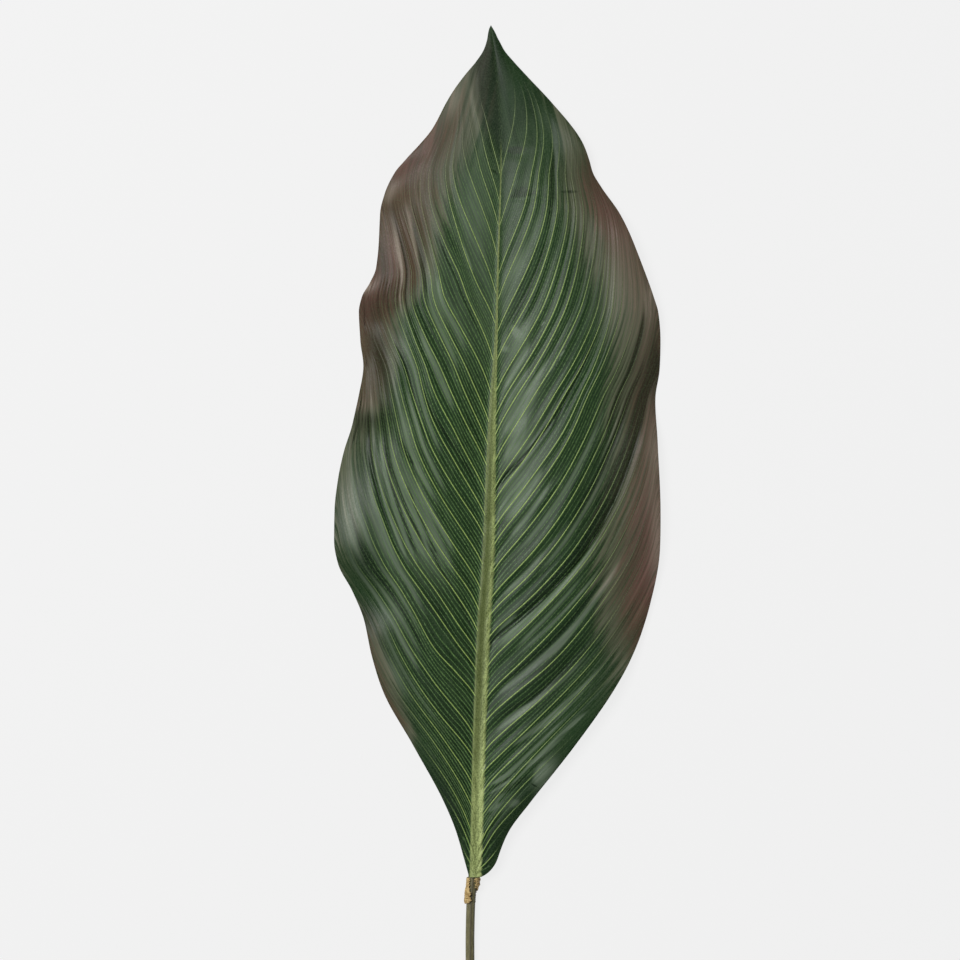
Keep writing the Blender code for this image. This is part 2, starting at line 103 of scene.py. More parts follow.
# How far each vein strays from that climb, as (start, at 1/4, 1/2 and 3/4 of the way out, and at
# the margin), all as parts of the length.
BENDS_LEFT = (
    (0, 0, 0, 0, 0), (0.05, -0.008, -0.012, -0.01, 0), (0.10, -0.012, -0.024, -0.026, -0.01),
    (0.137, -0.016, -0.031, -0.032, -0.01), (0.163, -0.009, -0.019, -0.02, 0.01),
    (0.213, -0.012, -0.021, 0.014, 0.035), (0.243, -0.005, 0.002, 0.034, 0.045),
    (0.263, -0.003, 0.01, 0.033, 0.04), (0.287, 0.002, 0.012, 0.024, 0.03),
    (0.312, 0, 0.004, 0.009, 0.015), (0.337, -0.002, -0.005, -0.004, 0),
    (0.369, -0.008, -0.016, -0.02, -0.01), (0.404, -0.015, -0.03, -0.034, 0),
    (0.428, -0.014, -0.033, -0.012, 0.01), (0.455, -0.015, -0.038, -0.018, 0),
    (0.488, -0.021, -0.038, -0.03, -0.01), (0.513, -0.018, -0.027, -0.028, -0.01),
    (0.54, -0.019, -0.03, -0.02, 0), (0.577, -0.022, -0.04, -0.012, 0),
    (0.616, -0.012, -0.03, -0.01, 0), (0.662, -0.021, -0.004, 0, 0),
    (0.697, -0.008, -0.006, 0, 0), (0.741, 0.004, -0.01, -0.008, 0), (0.8, 0.003, -0.006, 0, 0),
    (1, 0, 0, 0, 0),
)
BENDS_RIGHT = (
    (0, 0, 0, 0, 0), (0.028, 0, 0, 0.004, 0.016), (0.065, -0.009, -0.016, -0.012, 0),
    (0.096, -0.011, -0.023, -0.026, -0.008), (0.122, -0.015, -0.026, -0.026, -0.006),
    (0.147, -0.012, -0.023, -0.019, 0.01), (0.183, -0.009, -0.018, -0.009, 0.006),
    (0.211, -0.002, 0.001, 0.011, 0.022), (0.25, 0, 0.004, 0.011, 0.018),
    (0.272, -0.009, -0.011, -0.008, 0.004), (0.311, -0.011, -0.013, -0.004, 0.02),
    (0.345, -0.011, -0.015, -0.004, 0.033), (0.394, -0.014, -0.021, 0.009, 0.045),
    (0.414, -0.017, -0.026, 0.013, 0.04), (0.446, -0.02, -0.025, -0.007, 0.02),
    (0.493, -0.012, -0.012, -0.008, 0), (0.54, -0.01, -0.008, 0.006, 0.01),
    (0.618, -0.01, -0.003, 0.005, 0.01), (0.66, -0.003, 0.004, 0.008, 0.01),
    (0.72, 0.006, 0.016, 0.016, 0.01), (0.8, 0.009, 0.01, 0.008, 0), (0.9, 0.004, 0.004, 0, 0),
    (1, 0, 0, 0, 0),
)
BEND_PLACES = (0, 0.25, 0.5, 0.75, 1)
VEIN_RIDGE = 0.4

# Height of the upper face over the resting surface at nine places across, from the left margin
# (-1) over the midrib (0) to the right margin (1), for each station along the blade.
ACROSS = (-1, -0.75, -0.5, -0.25, 0, 0.2, 0.45, 0.75, 1)
SECTIONS = (
    (0, (7.6, 7.8, 8, 8, 8, 8, 8, 7.8, 7.6)),
    (40, (9, 9.9, 10, 9.4, 8.2, 9.6, 10.6, 10.4, 9.4)),
    (100, (7.5, 10.6, 11.4, 9.8, 7, 9.8, 11.4, 10, 8)),
    (170, (5.5, 11, 12.6, 10.4, 6.4, 10.2, 12, 8, 4.5)),
    (240, (4, 11, 13.4, 10.6, 6, 10.2, 12.6, 7, 3)),
    (310, (4, 10.8, 13.2, 10.6, 6.4, 10, 12.6, 9.5, 4)),
    (380, (5.4, 10, 12, 10.8, 8, 10.4, 12, 10.4, 7)),
    (440, (5.4, 7.4, 8.6, 8.5, 7.6, 8.1, 8.3, 7.5, 5.9)),
    (485, (3.2, 4, 4.4, 4.4, 4, 4.2, 4.2, 3.8, 3.2)),
    (511, (0.8, 0.8, 0.8, 0.8, 0.8, 0.8, 0.8, 0.8, 0.8)),
)
# Waves of the two margins, as (along, lift); the lift fades towards the middle of each half.
WAVE_LEFT = (
    (0, 0), (60, 0), (100, 1), (146, 3), (168, -2.5), (198, 7), (232, 2), (264, -3.6), (284, 8),
    (307, 6), (333, -3.6), (352, 7.5), (373, 4), (399, 1), (414, -4.5), (436, 2), (470, 1),
    (511, 0),
)
WAVE_RIGHT = (
    (0, 0), (60, 0), (110, 2), (152, -1), (225, 6), (258, 5), (292, -3.6), (335, 1.5), (385, 4),
    (415, -3), (440, 3), (470, 0), (511, 0),
)
WAVE_FROM = 0.55
# Pleats that run along the veins, as (where the vein starts, height).
PLEATS_LEFT = (
    (0, 0), (0.05, 0.2), (0.08, 0), (0.11, 0.3), (0.14, 0), (0.18, 0.3), (0.21, 0), (0.245, 0.4),
    (0.278, -0.7), (0.31, 0.3), (0.335, -0.1), (0.37, 0.3), (0.41, 0), (0.45, 0.3), (0.49, 0),
    (0.53, 0.3), (0.57, 0), (0.62, 0.3), (0.66, 0), (0.72, 0.2), (0.78, 0), (0.86, 0.1), (1, 0),
)
PLEATS_RIGHT = (
    (0, 0), (0.05, 0.25), (0.065, 0), (0.085, 0.3), (0.105, -0.2), (0.125, 0.4), (0.157, -0.2),
    (0.178, 0.35), (0.2, -0.1), (0.25, 0.55), (0.27, -0.6), (0.3, -0.25), (0.318, -0.2),
    (0.335, 0.3), (0.36, -0.2), (0.4, 0.3), (0.438, -0.3), (0.478, 0.2), (0.51, 0), (0.54, 0.15),
    (0.57, 0), (0.61, 0.15), (0.64, 0), (0.68, 0.15), (0.72, 0), (0.8, 0.1), (1, 0),
)
# Folds across the pleats: middle x and along, heading in degrees, half-length, half-width, height.
FOLDS = (
    (-58.5, 268, 106, 26, 5, 1.4),
    (-75.5, 312, 92, 26, 5, 1.6),
    (-65.5, 312, 94, 28, 5, -1.3),
    (-58, 385, 110, 26, 4.5, 1.0),
    (14, 324, 50, 10, 5, 1.1),
    (18, 290, 48, 12, 5, 1.2),
    (13, 266, 55, 14, 5, 1.2),
    (26, 226, 50, 12, 5, 1.1),
    (29, 63, 60, 10, 6, 1.0),
)
# Small creases, finer than the solid has them, in the same six measures.
FINE_FOLDS = (
    (11, 434.5, -4, 8, 2.2, -0.7),
    (18, 409.5, 2, 11, 2.2, -0.8),
    (43, 411, 4, 7, 2.2, -0.6),
    (34.5, 426, -86, 22, 1.6, -0.45),
    (-65, 351, 6, 9, 2, -1.0),
    (5, 226, 55, 16, 3, -0.7),
    (30, 62, 60, 12, 4, 0.6),
    (16, 46, 60, 8, 4, 0.5),
)
# Sharp creases along the veins: side, start at the inner and at the outer end, way out from and
# to, half-width in start, depth.
CREASES = (
    (1, 0.275, 0.267, 0.03, 0.56, 0.003, -0.9),
    (1, 0.266, 0.277, 0.46, 0.96, 0.003, -0.9),
    (1, 0.458, 0.436, 0.03, 0.46, 0.003, -0.6),
    (1, 0.436, 0.447, 0.38, 0.64, 0.003, -0.5),
    (1, 0.311, 0.308, 0.45, 0.92, 0.004, -0.4),
    (1, 0.329, 0.338, 0.7, 0.94, 0.004, -0.4),
    (1, 0.316, 0.316, 0, 0.3, 0.006, -0.4),
    (1, 0.377, 0.377, 0, 0.3, 0.006, -0.3),
    (1, 0.157, 0.157, 0.05, 0.8, 0.004, -0.3),
    (1, 0.2, 0.2, 0.05, 0.8, 0.004, -0.3),
    (1, 0.1, 0.1, 0.05, 0.8, 0.004, -0.3),
    (1, 0.63, 0.63, 0.04, 0.45, 0.005, -0.4),
    (-1, 0.253, 0.274, 0.5, 0.95, 0.003, 0.5),
    (-1, 0.245, 0.265, 0.55, 0.95, 0.0035, -0.5),
    (-1, 0.288, 0.302, 0.36, 0.88, 0.0035, -0.7),
    (-1, 0.349, 0.332, 0.49, 0.66, 0.003, -0.8),
    (-1, 0.274, 0.3, 0.05, 0.45, 0.003, -0.4),
    (-1, 0.298, 0.318, 0.33, 0.56, 0.003, -0.6),
    (-1, 0.449, 0.425, 0.06, 0.62, 0.0035, -0.6),
    (-1, 0.4, 0.412, 0.42, 0.8, 0.004, -0.5),
    (-1, 0.61, 0.61, 0.05, 0.6, 0.004, -0.4),
    (-1, 0.155, 0.155, 0.3, 0.9, 0.006, -0.3),
    (-1, 0.5, 0.5, 0.3, 0.8, 0.005, -0.4),
    (-1, 0.465, 0.47, 0.5, 0.9, 0.004, -0.5),
    (-1, 0.375, 0.385, 0.5, 0.9, 0.004, 0.3),
)

# Pale and dark streaks along the veins, in the same measures, with a tone at the end that is dark
# below 0 and pale above. They are partly the leaf's own streaks and partly painted highlights on
# its pleats and painted shade in its creases.
STREAKS = (
    (1, 0.277, 0.267, -0.2, 0.66, 0.0036, -1.7),
    (1, 0.266, 0.278, 0.42, 1.0, 0.0038, -1.6),
    (1, 0.281, 0.274, 0.12, 0.72, 0.008, -1.1),
    (1, 0.273, 0.285, 0.48, 1.0, 0.009, -1.2),
    (1, 0.261, 0.253, 0.03, 0.7, 0.0075, 0.95),
    (1, 0.2, 0.192, 0.08, 0.6, 0.0036, 1.1),
    (1, 0.192, 0.195, 0.44, 0.8, 0.0034, 0.75),
    (1, 0.225, 0.215, 0.2, 0.7, 0.003, 0.7),
    (1, 0.207, 0.2, 0.1, 0.75, 0.003, -0.7),
    (1, 0.16, 0.139, 0.1, 0.74, 0.0036, 1.1),
    (1, 0.172, 0.15, 0.1, 0.75, 0.003, -0.7),
    (1, 0.12, 0.094, 0.3, 0.88, 0.003, 0.8),
    (1, 0.085, 0.075, 0.2, 0.8, 0.004, 0.6),
    (1, 0.056, 0.051, 0.2, 0.9, 0.004, 0.8),
    (1, 0.311, 0.309, 0.42, 0.94, 0.006, -1.0),
    (1, 0.329, 0.339, 0.66, 0.94, 0.006, -1.2),
    (1, 0.466, 0.436, -0.18, 0.5, 0.003, -1.4),
    (1, 0.436, 0.447, 0.34, 0.66, 0.003, -1.0),
    (1, 0.446, 0.452, 0.06, 0.26, 0.004, 0.7),
    (1, 0.078, 0.078, 0.25, 0.75, 0.004, 0.62),
    (1, 0.236, 0.236, 0.18, 0.6, 0.004, 0.62),
    (1, 0.284, 0.29, 0.55, 1.0, 0.009, -0.88),
    (1, 0.278, 0.278, 0.08, 0.22, 0.003, 0.62),
    (1, 0.303, 0.303, 0.25, 0.76, 0.004, 0.5),
    (1, 0.317, 0.317, 0.08, 0.35, 0.004, 0.62),
    (1, 0.349, 0.349, 0.12, 0.72, 0.004, 0.75),
    (1, 0.377, 0.377, 0.1, 0.38, 0.005, 0.69),
    (1, 0.404, 0.404, 0.08, 0.33, 0.006, 0.69),
    (1, 0.478, 0.478, 0.06, 0.22, 0.008, 0.75),
    (1, 0.508, 0.508, 0.06, 0.34, 0.006, 0.75),
    (1, 0.536, 0.536, 0.05, 0.22, 0.008, 0.62),
    (1, 0.562, 0.562, 0.05, 0.22, 0.008, 0.62),
    (1, 0.631, 0.631, 0.05, 0.4, 0.004, -0.88),
    (1, 0.64, 0.64, 0.34, 0.66, 0.012, -0.75),
    (1, 0.672, 0.672, 0.08, 0.35, 0.01, 0.31),
    (-1, 0.12, 0.12, 0.45, 0.95, 0.006, 0.5),
    (-1, 0.155, 0.155, 0.55, 0.95, 0.006, 0.7),
    (-1, 0.176, 0.176, 0.5, 1.0, 0.005, 0.5),
    (-1, 0.19, 0.19, 0.45, 1.0, 0.004, -0.6),
    (-1, 0.2, 0.21, 0.5, 1.0, 0.005, 0.6),
    (-1, 0.23, 0.24, 0.45, 0.85, 0.005, 0.7),
    (-1, 0.246, 0.266, 0.6, 0.95, 0.004, -0.7),
    (-1, 0.2535, 0.2745, 0.5, 0.95, 0.0032, 1.5),
    (-1, 0.263, 0.287, 0.46, 0.8, 0.0032, 1.5),
    (-1, 0.27, 0.294, 0.44, 0.76, 0.004, -1.1),
    (-1, 0.279, 0.301, 0.4, 0.7, 0.003, 0.9),
    (-1, 0.274, 0.3, 0.03, 0.45, 0.003, -1.0),
    (-1, 0.288, 0.302, 0.36, 0.88, 0.0035, -1.0),
    (-1, 0.3, 0.318, 0.52, 0.88, 0.0035, 0.7),
    (-1, 0.298, 0.318, 0.3, 0.56, 0.003, -1.0),
    (-1, 0.31, 0.325, 0.2, 0.5, 0.007, 0.6),
    (-1, 0.33, 0.34, 0.2, 0.5, 0.004, 0.9),
    (-1, 0.349, 0.332, 0.49, 0.66, 0.003, -1.2),
    (-1, 0.356, 0.352, 0.3, 0.85, 0.0045, 1.0),
    (-1, 0.385, 0.392, 0.25, 0.7, 0.007, 0.7),
    (-1, 0.4, 0.412, 0.42, 0.8, 0.004, -0.8),
    (-1, 0.416, 0.42, 0.3, 0.75, 0.005, 0.7),
    (-1, 0.449, 0.427, 0.05, 0.62, 0.0028, -1.2),
    (-1, 0.44, 0.45, 0.62, 0.85, 0.004, 0.6),
    (-1, 0.465, 0.47, 0.5, 0.9, 0.004, -0.8),
    (-1, 0.478, 0.478, 0.25, 0.6, 0.008, 0.7),
    (-1, 0.52, 0.525, 0.25, 0.58, 0.007, 0.6),
    (-1, 0.53, 0.53, 0.56, 0.75, 0.008, -0.7),
    (-1, 0.56, 0.57, 0.2, 0.5, 0.007, 0.5),
    (-1, 0.608, 0.608, 0.04, 0.6, 0.003, -0.8),
)
# Broad pale and dark places, partly the leaf's own tones and partly painted highlights and
# painted shade: x, along, heading in degrees, half-length, half-width, tone.
SHADES = (
    (-86, 218, 96, 20, 4, 0.4),
    (-70, 205, 110, 26, 4, 0.4),
    (-77, 186, 125, 16, 9, -0.7),
    (-80, 156, 110, 12, 9, -0.7),
    (-57, 275, 112, 36, 5, 0.35),
    (-65, 300, 100, 30, 4, -0.5),
    (-52, 218, 111, 40, 10, 0.65),
    (-27, 342, 104, 42, 12, 0.3),
    (-18, 400, 95, 30, 10, 0.35),
    (14, 400, 82, 30, 12, -0.15),
    (10, 352, 80, 40, 8, 0.2),
    (-79, 282, 0, 9, 4.5, 0.45),
    (-80, 273.5, 0, 10, 3, -0.5),
    (-88, 212, 100, 22, 6, 0.45),
    (70, 352, 85, 40, 14, 0.35),
    (-36, 160, 122, 30, 4, -0.5),
    (-76, 256, 95, 22, 7, -0.4),
    (14, 322, 62, 14, 4.5, 0.7),
    (17, 286, 58, 14, 4.5, 0.7),
    (12, 252, 58, 12, 4, 0.6),
    (8, 362, 66, 18, 4, 0.3),
    (96, 306, 95, 30, 4.5, -0.6),
    (91, 300, 95, 14, 8, -0.4),
    (34, 125, 40, 44, 16, -0.5),
    (-36, 100, 122, 50, 16, -0.4),
    (-60, 121, 118, 16, 3.5, 0.55),
    (-24, 42, 115, 36, 14, -0.7),
    (12, 36, 60, 30, 12, -0.5),
    (-3, 490, 90, 24, 16, -0.5),
    (18, 462, 55, 26, 9, -0.4),
    (29, 62, 62, 12, 5.5, 0.8),
    (6.5, 44, 50, 9, 3.5, 0.5),
    (-8, 470, 95, 34, 5, -0.4),
    (1, 455, 92, 40, 2.5, -0.5),
    (-4.5, 462, 92, 34, 2.5, -0.4),
    (-14, 462, 100, 20, 2, 0.4),
    (-25.5, 466, 75, 13, 4.5, 0.45),
    (-4, 468, 93, 28, 5, -0.6),
    (-12, 478, 98, 14, 2, 0.3),
    (-68, 367, 95, 22, 5, -0.6),
    (-74, 320, 95, 20, 6, -0.6),
    (-65, 270, 98, 28, 4.5, -0.5),
    (-59.5, 378, 100, 20, 1.4, 0.9),
    (-49, 378.5, 103.4, 20, 1.1, 1.1),
    (-64, 411, 60, 8, 4, 0.5),
    (-37, 352, 104, 20, 2.5, 0.6),
    (-44, 360, 102, 17, 1.4, -1.0),
    (-79, 353, 20, 8, 3, 0.7),
    (-62, 395, 100, 14, 2, -0.5),
    (-55, 375, 101, 18, 1.6, -0.5),
    (14, 416, 5, 9, 3, 0.3),
    (16, 245, 70, 42, 9, 0.45),
    (-9, 372, 94, 60, 9, 0.32),
    (-6, 425, 93, 30, 6, 0.2),
    (10.4, 271, 60, 12, 8, 0.5),
    (8.6, 226, 55, 14, 7, 0.45),
    (3.2, 211, 55, 8, 5, -0.6),
    (4.4, 244, 50, 12, 3, -0.5),
    (5, 150, 45, 12, 3, 0.5),
    (-44, 213, 112, 30, 6, 0.4),
    (92, 345, 90, 16, 5, 0.35),
    (96, 256, 95, 16, 5, 0.3),
    (97, 214, 95, 22, 5, 0.35),
    (96, 190, 85, 18, 5, 0.4),
    (86, 330, 98, 50, 12, 0.25),
    (93, 250, 90, 45, 9, 0.2),
)

# Short painted highlights on small folds and short painted shade in wrinkles, in the same measures.
HIGHLIGHTS = (
    (11.8, 326.5, -57, 6, 2.6, 0.6),
    (4.9, 316.9, 0, 3, 2.5, 0.4),
    (10.9, 304.9, 60, 17, 2.2, 0.5),
    (32.8, 305.2, 57, 4, 0.5, 0.9),
    (21.7, 290.8, 55, 7, 0.6, 1.0),
    (18.7, 284.5, 52, 9, 2.2, 0.4),
    (27.7, 331.9, 55, 2.2, 0.6, 0.8),
    (39.1, 313.9, 55, 3, 0.8, 0.7),
    (12.1, 99.1, 34, 11, 1.6, 0.8),
    (29.5, 93.1, 37, 20, 2.0, 0.7),
    (28.9, 75.7, 40, 16, 1.8, 0.65),
    (46.3, 92.5, 43, 12, 1.2, 0.75),
    (25.9, 63.1, 60, 7, 3.2, 0.6),
    (17.8, 68.2, 38, 4.5, 0.5, 1.1),
    (1.9, 59.2, 33, 8, 1.1, 0.95),
    (1.9, 54.4, 34, 10, 0.9, 0.95),
    (-1.7, 42.1, 40, 4.5, 1.6, 0.85),
    (10.9, 44.5, 20, 4, 2.4, 0.55),
    (15.5, 407, 5, 7, 1.2, 0.3),
    (-17.3, 371, 110, 9, 0.5, 0.9),
)
# Painted shade in small wrinkles and cross folds.
WRINKLE_SHADE = (
    (8.5, 307.9, 60, 14, 1.0, 0.5),
    (48.7, 303.7, 62, 22, 1.0, 0.6),
    (2.5, 56.8, 35, 8, 0.7, 1.0),
    (10.3, 55.3, 33, 11, 2.0, 0.7),
    (-0.9, 48.1, 45, 6, 0.8, 0.8),
    (22.3, 55.3, -30, 3.5, 0.6, 0.6),
    (9.1, 102.1, 32, 10, 1, 0.5),
    (15.2, 409.3, 9, 8.5, 1.5, 2.2),
    (15.2, 411.5, 5, 8, 3.0, 0.6),
    (11.4, 436.2, 4, 6, 2.4, 1.5),
    (43.2, 411, 2, 6, 1.2, 0.9),
    (-1.5, 423.3, -35, 2.5, 0.8, 1.2),
)

# Parts of the way out over which pleats, vein ridges and ripples grow and fade. The ends are counted
# by where a vein starts. Along the stretch of TIP_CALM, they and the creases lose the share CALMED.
PLEATS_GROW, PLEATS_FADE = (0, 0.14), (0.55, 1)
RIDGES_GROW, RIDGES_FADE, RIDGES_END = (0, 0.1), (0.5, 0.95), (0.7, 0.95)
RIPPLES_GROW, RIPPLES_FADE, RIPPLES_END = (0, 0.12), (0.6, 1), (0.45, 0.8)
TIP_CALM = (390, 445)
CALMED = 0.85

# The lamina, the midrib on it and the keel under it.
LAMINA = 0.8
MARGIN_THINNED = 0.35
RIB_HALF_WIDTH = (
    (0, 3.6), (154, 4.1), (226, 3.3), (274, 2.4), (298, 1.8), (322, 1.3), (346, 1), (406, 0.7),
    (511, 0.4),
)
RIB_HEIGHT = (
    (0, 1.3), (150, 1.5), (250, 1.2), (300, 0.8), (360, 0.4), (420, 0), (511, 0),
)
RIB_CHANNEL = ((0, 0.2), (30, 0.5), (80, 0.75), (150, 0.7), (200, 0.45), (260, 0.3), (511, 0))
KEEL_UNDERSIDE = (
    (0, 6.55), (22, 6.55), (31, 2.5), (40, 0), (262, 0), (310, 0.8), (350, 3.2), (400, 6),
    (440, 5.6), (485, 2.4), (511, 0),
)
KEEL_FLAT = 0.55

# Mesh of the blade: columns between two veins, and rows on the midrib and from it to the margin.
COLUMNS_PER_VEIN = 16
RIB_ROW_COUNT = 7
LAMINA_ROW_COUNT = 42
SHARP_ANGLE = 50
# Numbers that each vertex of the blade holds for the materials and the veins, on both faces.
SPREAD = (
    "vein_pitch", "fine_pitch", "fine_lines", "across_rib", "bronze", "mauve", "bloom", "shade",
    "tipward", "rib_tone", "rib_shown", "rib_narrowed", "vein_width", "vein_fade",
)

# Raised side veins: half-width by the way out to the margin, and height as part of their width.
VEIN_HALF_WIDTH = ((0, 0.28), (0.3, 0.24), (0.6, 0.19), (0.85, 0.12), (0.95, 0.07), (1, 0.05))
VEIN_PROUD = 0.4
# How far out the raised veins reach, by the place on the midrib that they leave from.
VEIN_END = (
    (0, 0.93), (0.4, 0.92), (0.5, 0.9), (0.6, 0.85), (0.7, 0.8), (0.78, 0.6), (0.84, 0.4), (0.87, 0),
    (1, 0),
)
VEIN_SIDES = 6
# Brightness of a vein by the way out to the margin.
VEIN_FADE = ((0, 1), (0.35, 0.92), (0.6, 0.7), (0.75, 0.4), (0.9, 0.12), (1, 0))
# The veins near the tip are faint: brightness by the place on the midrib that they leave from.
VEIN_FADE_TO_TIP = ((0, 1), (0.55, 1), (0.65, 0.8), (0.75, 0.55), (0.85, 0.3), (0.9, 0), (1, 0))
# Where veins are fainter still: side, share lost, stretch along, and stretch of the way out, which
# is all of it in the last row.
FAINT_VEINS = (
    (-1, 0.5, (280, 400), (0.3, 0.7)),
    (1, 0.5, (280, 400), (0.3, 0.7)),
    (-1, 0.9, (400, 450), (0.1, 0.35)),
    (1, 0.6, (400, 480), (-1, 0)),
)
# Distance between the fine lines, as part of the length, their greatest half-width, and how far
# they sway, as part of that distance.
FINE_LINE_STEP = 0.0068
LINE_WIDTH = 0.42
LINE_SWAY = 0.7
# Soft edge of a painted vein, from its middle, and of a short stroke, in parts of its half-size.
VEIN_EDGE = (0.15, 0.45)
STROKE_EDGE = (0.2, 1.3)
# Stretches along the blade where its streaks turn to run to the tip, and its midrib narrows.
TIP_STREAKS = (405, 455)
RIB_NARROWS = (280, 350)
# Brightness of the midrib along the blade, and how much of it shows.
RIB_TONE = (
    (0, 0.8), (50, 0.8), (75, 0.45), (150, 0.22), (230, 0.24), (290, 0.4), (350, 0.42), (400, 0.35),
    (511, 0.3),
)
RIB_SHOWN = ((0, 1), (405, 1), (432, 0.5), (445, 0), (511, 0))

# Small ripples beside the veins: waves for each vein, height, drift on the way out, and phase.
RIPPLES = (
    (1.0, 0.10, 0.9, 0.3),
    (1.62, 0.09, -1.3, 2.1),
    (2.37, 0.06, 1.9, 4.4),
    (3.1, 0.035, -2.6, 1.2),
)

# Brown cast of the margins: (along, way out where it begins, way out where it is full, strength).
BRONZE_LEFT = (
    (0, 1.0, 1.3, 0), (70, 0.85, 1.2, 0.4), (95, 0.72, 1.05, 0.9), (150, 0.76, 1.08, 0.8),
    (170, 0.8, 1.25, 0.6), (200, 0.55, 1.2, 0.4), (245, 0.55, 1.1, 0.45), (276, 0.6, 1.0, 0.55),
    (284, 0.62, 0.97, 0.85), (330, 0.58, 0.92, 1), (350, 0.42, 0.8, 1), (400, 0.27, 0.75, 1),
    (440, 0.05, 0.8, 0.8), (470, -0.3, 0.7, 0.6), (500, -0.3, 0.7, 0.35), (512, 0, 0.7, 0),
)
BRONZE_RIGHT = (
    (0, 1.0, 1.3, 0), (90, 0.85, 1.4, 0.4), (120, 0.68, 1.3, 0.7), (142, 0.56, 1.08, 0.9),
    (165, 0.46, 1.0, 0.9), (195, 0.4, 0.96, 0.85), (240, 0.46, 1.0, 0.85), (290, 0.52, 1.08, 1),
    (340, 0.42, 1.12, 1), (400, 0.3, 1.0, 0.9), (430, 0.4, 1.1, 0.8), (458, 0.55, 1.3, 0.55),
    (512, 1.0, 1.3, 0),
)
# Redder patches: side, along, way out, half-length, half-width, strength.
MAUVE = (
    (1, 190, 1.0, 38, 0.22, 1),
    (1, 262, 1.0, 46, 0.3, 0.4),
    (1, 395, 0.86, 24, 0.2, 0.8),
    (-1, 432, 0.95, 18, 0.2, 0.9),
    (-1, 352, 0.95, 26, 0.1, 0.6),
    (-1, 372, 0.85, 26, 0.2, 0.5),
)

# The stalk: its middle line as (x from the blade's base, along, height), and its round.
STEM_RADIUS = 2.65
STEM_PATH = (
    (-1.3, -143.8, 2.65), (-2.3, -110, 2.65), (-3.1, -70, 2.65), (-3.3, -40, 2.8),
    (-3.1, -26, 3.4), (-2.8, -17, 3.75), (-1.8, -3, 3.75), (-1, 8, 3.75), (-0.4, 18, 3.5),
)
STEM_TAPER_FROM, STEM_TAPER_TO = 6, 0.7
STEM_RINGS = 160
STEM_SIDES = 64
# Its groove, a little right of the middle, and its flutes, in parts of its radius.
GROOVE_DEPTH, GROOVE_WIDTH, GROOVE_SIDEWAYS = 0.17, 0.22, 0.1
FLUTES, FLUTE_DEPTH = 11.0, 0.018

# The torn brown wrap round the top of the stalk.
WRAP_GAP = 0.4
WRAP_THICKNESS = 0.5
WRAP_FROM, WRAP_TO = -16.4, -0.9
# Height of its torn edge round each side, in degrees over the level, and how far it stands off.
WRAP_LEFT = (
    (-16.4, 24, 0.2), (-15.6, 66, 0.7), (-14.2, 84, 1.2), (-12.6, 76, 0.8), (-11, 86, 1.3),
    (-9.2, 80, 1.1), (-7.6, 72, 0.6), (-6.4, 64, 0.3), (-4, 62, 0.2), (-0.9, 64, 0.3),
)
WRAP_RIGHT = (
    (-16.4, -50, 0), (-9.4, -30, 0.1), (-7.6, 30, 0.3), (-6.6, 56, 0.6), (-5, 68, 1.2),
    (-3.4, 62, 0.9), (-2.2, 70, 1.3), (-0.9, 66, 1),
)
WRAP_COLUMNS, WRAP_ROWS = 72, 56
# Its random teeth: seed, spread in degrees round the stalk and spread of the stand-off.
TEETH_SEED, TEETH_TURN, TEETH_OFF = 5, 8, 0.14
# How deep its crumples are.
CRUMPLE = 0.12

# Colours of the upper face, in two tones that they wander between or in one.
GREENS = ((0.0040, 0.0160, 0.0032), (0.0190, 0.0430, 0.0145))
CLOUDY_GREEN = (0.012, 0.035, 0.012)
OLIVES = ((0.034, 0.040, 0.020), (0.102, 0.104, 0.068))
BROWNS = ((0.024, 0.017, 0.008), (0.084, 0.057, 0.034))
REDS = ((0.066, 0.031, 0.026), (0.135, 0.066, 0.056))
WOVEN_GRAIN = (0.065, 0.092, 0.052)
FINE_LINE_GREEN = (0.105, 0.19, 0.062)
VEIN_GREEN = (0.19, 0.30, 0.075)
MIDRIB_TONES = ((0.040, 0.057, 0.013), (0.37, 0.44, 0.17))
# Pale and dark places, on green and on brown: colours of the pale streaks and painted highlights,
# and of the darker places and painted shade.
PALE_TONES = ((0.132, 0.172, 0.120), (0.260, 0.215, 0.172))
DARK_TONES = ((0.003, 0.011, 0.003), (0.020, 0.016, 0.009))
# Colours of the raised veins and of the lower face.
BRIGHT_VEINS = ((0.18, 0.27, 0.055), (0.33, 0.44, 0.125))
DULL_VEINS = ((0.03, 0.06, 0.02), (0.10, 0.14, 0.05))
BROWN_VEIN = (0.13, 0.12, 0.07)
UNDER_GREENS = ((0.070, 0.105, 0.060), (0.105, 0.145, 0.085))
UNDER_BROWN = (0.13, 0.095, 0.07)
UNDER_LINE = (0.17, 0.22, 0.11)
UNDER_VEIN = (0.22, 0.28, 0.13)
KEEL_TONES = ((0.17, 0.20, 0.07), (0.32, 0.36, 0.17))
# Colours of the stalk and of the wrap.
STALK_TONES = ((0.074, 0.068, 0.026), (0.175, 0.158, 0.074))
GROOVE_DARK = (0.052, 0.042, 0.022)
STALK_EDGE = (0.07, 0.06, 0.032)
STALK_SPOT = (0.05, 0.04, 0.02)
WRAP_TONES = ((0.26, 0.165, 0.05), (0.60, 0.45, 0.20))
WRAP_GRAIN = (0.28, 0.165, 0.06)

# Camera, straight over the leaf, and the light that comes from the upper left.
CAMERA_OVER = (-10.6, 53.95)
CAMERA_HEIGHT = 1.6
LEAF_MIDDLE_HEIGHT = 8
CAMERA_LENS = 100
CAMERA_SENSOR = 36
CAMERA_NEAR = 0.01
KEY_DIRECTION = (-0.5, 0.36, 1)
KEY_DISTANCE = 2.2
KEY_SIZE = 1.1
KEY_POWER = 54
ROOM_LIGHT = 0.18
FLOOR_SIZE = 12
FLOOR_GLOW = 0.816
FLOOR_SHADE = 0.06
FLOOR_DROP = 0.05
PALE = (1, 1, 1)


